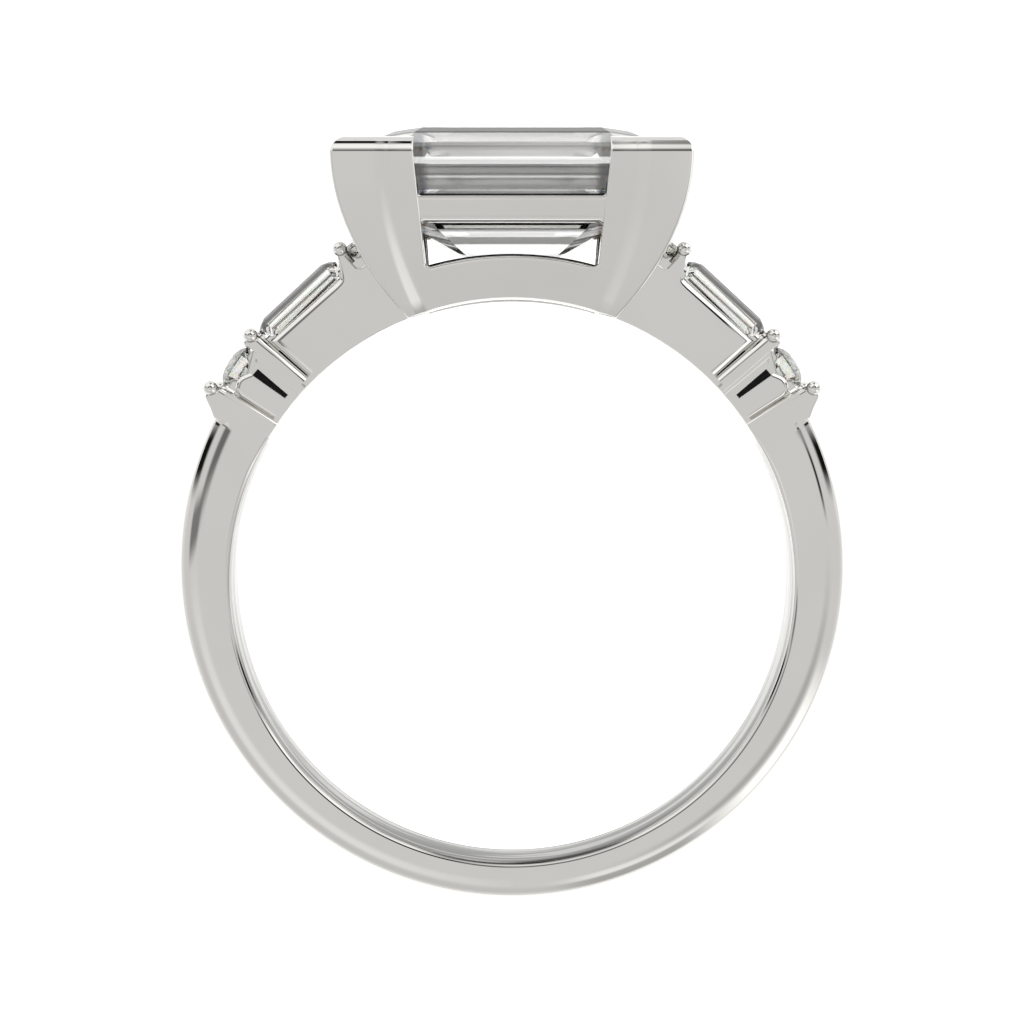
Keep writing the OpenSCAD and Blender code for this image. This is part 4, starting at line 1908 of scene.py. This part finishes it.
@dataclass(frozen=True)
class Stones:
    """The seven packed stones, which keep their shapes and get their finish.

    Args:
        centre_steps: painted light and dark bands along the centre stone's axis.
        centre_glow: the painted glow of its facets there.
        centre_ends: the painted shade across it.
        baguette_steps: painted light and dark bands along a baguette's axis.
        round_steps: the same for a round.
        round_lean: angle between a round's axis and the centre stone's, in degrees.
    """

    centre_steps: Stops = (
        (9.40, 0.62), (10.30, 0.6), (10.95, 0.45), (11.10, 0.5), (11.13, 0.12), (11.21, 0.12), (11.235, 0.5),
        (11.265, 0.06), (11.32, 0.06), (11.35, 0.5), (11.48, 0.5), (11.53, 0.9), (11.60, 0.6), (11.63, 0.02),
        (11.68, 0.02), (11.71, 0.14), (11.80, 0.10), (11.83, 0.02), (11.86, 0.02), (11.88, 0.6), (11.92, 0.6),
        (11.94, 1.0), (12.87, 1.0), (12.895, 0.0), (13.08, 0.0), (13.096, 0.9),
    )
    centre_glow: Stops = (
        (9.40, 0.0), (11.92, 0.0), (11.94, 0.55), (12.10, 0.55), (12.13, 0.06), (12.40, 0.06), (12.47, 0.18),
        (12.56, 0.18), (12.60, 0.26), (12.87, 0.26), (12.895, 0.0), (13.09, 0.0),
    )
    centre_ends: Stops = (
        (0.0, 1.0), (2.42, 1.0), (2.56, 0.12), (2.88, 0.08), (3.1, 0.2), (3.4, 0.03), (4.5, 0.02),
    )
    baguette_steps: Stops = (
        (9.85, 0.75), (9.95, 0.85), (10.18, 0.80), (10.30, 0.95), (10.40, 0.95), (10.43, 0.05), (10.54, 0.05),
        (10.60, 0.08), (10.625, 0.12), (10.637, 0.9),
    )
    round_steps: Stops = ((9.50, 0.80), (9.90, 0.55), (10.10, 0.9), (10.40, 0.55), (10.80, 0.75))
    round_lean: float = 45.0

    def dress(self, bench: Bench) -> None:
        """Gives each stone its clear finish, with painted bands of light and shade, a painted glow and
        painted fire.

        Args:
            bench: gives the ring's place.
        """
        skins = {
            "centre_stone": ClearStone(
                "centre_stone_clear",
                steps=self.centre_steps,
                glow=self.centre_glow,
                ends=self.centre_ends,
                fire=0.6,
                grain=2600.0,
            ),
            "baguette": ClearStone(
                "baguette_clear", self.baguette_steps, lean=BAGUETTE.lean, fire=0.1, grain=3600.0
            ),
            "round": ClearStone(
                "round_clear", self.round_steps, lean=self.round_lean, fire=0.2, grain=5200.0
            ),
        }
        made = {kind: skin.make(bench.lie) for kind, skin in skins.items()}
        for name, node in frame["nodes"].items():
            if name == METAL:
                continue
            kind = name if name in made else name.split("_")[0]
            node.data.materials.clear()
            node.data.materials.append(made[kind])
            log.info("%s: packed shape kept", name)


@dataclass(frozen=True)
class Studio:
    """The floor, the soft light from all round and the camera.

    Args:
        eye: the camera's place in the ring's own frame; it looks straight along the finger.
        lens: its focal length.
        shift: how far its picture is shifted down.
        sensor: width of its sensor.
        sees: the nearest and the farthest distance that it shows, in metres.
        rest: how bright the surroundings are between the panels.
        shown: how bright they look to the camera itself.
        tone: their colour.
        bounces: how often light goes through the stones.
        mirrored: how often metal mirrors metal.
    """

    eye: Point = (0.0, 4.76, 60.0)
    lens: float = 70.875
    shift: float = -0.0918
    sensor: float = 36.0
    sees: Flat = (0.001, 20.0)
    rest: float = 0.7
    shown: float = 1.05
    tone: tuple[float, ...] = (1.0, 0.995, 0.985, 1.0)
    bounces: int = 16
    mirrored: int = 8

    def build(self, bench: Bench) -> None:
        """Sets the scene up.

        Args:
            bench: gives the ring's place.
        """
        PaleFloor().lay()
        self.light(bench)
        self.camera(bench)
        scene = bpy.context.scene
        scene.view_settings.view_transform = "Standard"
        scene.cycles.max_bounces = self.bounces
        scene.cycles.glossy_bounces = self.mirrored
        scene.cycles.transmission_bounces = self.bounces
        scene.cycles.blur_glossy = 0.0
        scene.cycles.use_denoising = True

    def light(self, bench: Bench) -> None:
        """Surrounds the ring with pale panels and a few dark gaps between them.

        Args:
            bench: gives the ring's place.
        """
        world = bpy.data.worlds.new("studio")
        bpy.context.scene.world = world
        world.use_nodes = True
        tree = Tree(world.node_tree)
        tree.tree.nodes.clear()
        turn = tree.add("ShaderNodeMapping", vector_type="VECTOR")
        tree.set(turn, "Vector", tree.add("ShaderNodeTexCoord").outputs["Generated"])
        lean = math.atan2(-bench.lie.col[2][1], bench.lie.col[2][2])
        tree.set(turn, "Rotation", (-lean, 0.0, 0.0))
        x, y, z = tree.parts(turn.outputs[0])
        polar = tree.math("DEGREES", tree.math("ARCCOSINE", z))
        sideways = tree.math("MULTIPLY", x, -1.0)
        azimuth = tree.math("ADD", tree.math("DEGREES", tree.math("ARCTAN2", sideways, y)), 90.0)
        level: object = self.rest
        for panel in PANELS:
            level = panel.over(tree, level, polar, azimuth)
        seen = tree.add("ShaderNodeLightPath").outputs["Is Camera Ray"]
        back = tree.add("ShaderNodeBackground")
        tree.set(back, "Color", self.tone)
        tree.set(back, "Strength", tree.mix(seen, level, self.shown))
        out = tree.add("ShaderNodeOutputWorld")
        tree.set(out, 0, back.outputs[0])

    def camera(self, bench: Bench) -> None:
        """Places the camera above the lying ring, at the photograph's angle to it.

        Args:
            bench: gives the ring's place.
        """
        data = bpy.data.cameras.new("camera")
        data.lens = self.lens
        data.sensor_width = self.sensor
        data.shift_y = self.shift
        data.clip_start, data.clip_end = self.sees
        made = bench.placed("camera", data)
        turn = bench.lie.to_3x3().normalized().to_4x4()
        made.matrix_world = Matrix.Translation(bench.lie @ Vector(self.eye)) @ turn
        bpy.context.scene.camera = made


def main() -> None:
    """Builds the dressed ring and the studio, and reports each piece."""
    logging.basicConfig(level=logging.INFO, format="%(name)s: %(message)s")
    bench = Bench(frame["record"])
    Studio().build(bench)
    Band().build(bench)
    Shoulder().build(bench)
    Prongs().build(bench)
    CentreSetting(bore=bench.bore).build(bench)
    Stones().dress(bench)
    log.info("%d metal pieces", bench.pieces)


if __name__ == "__main__":
    main()
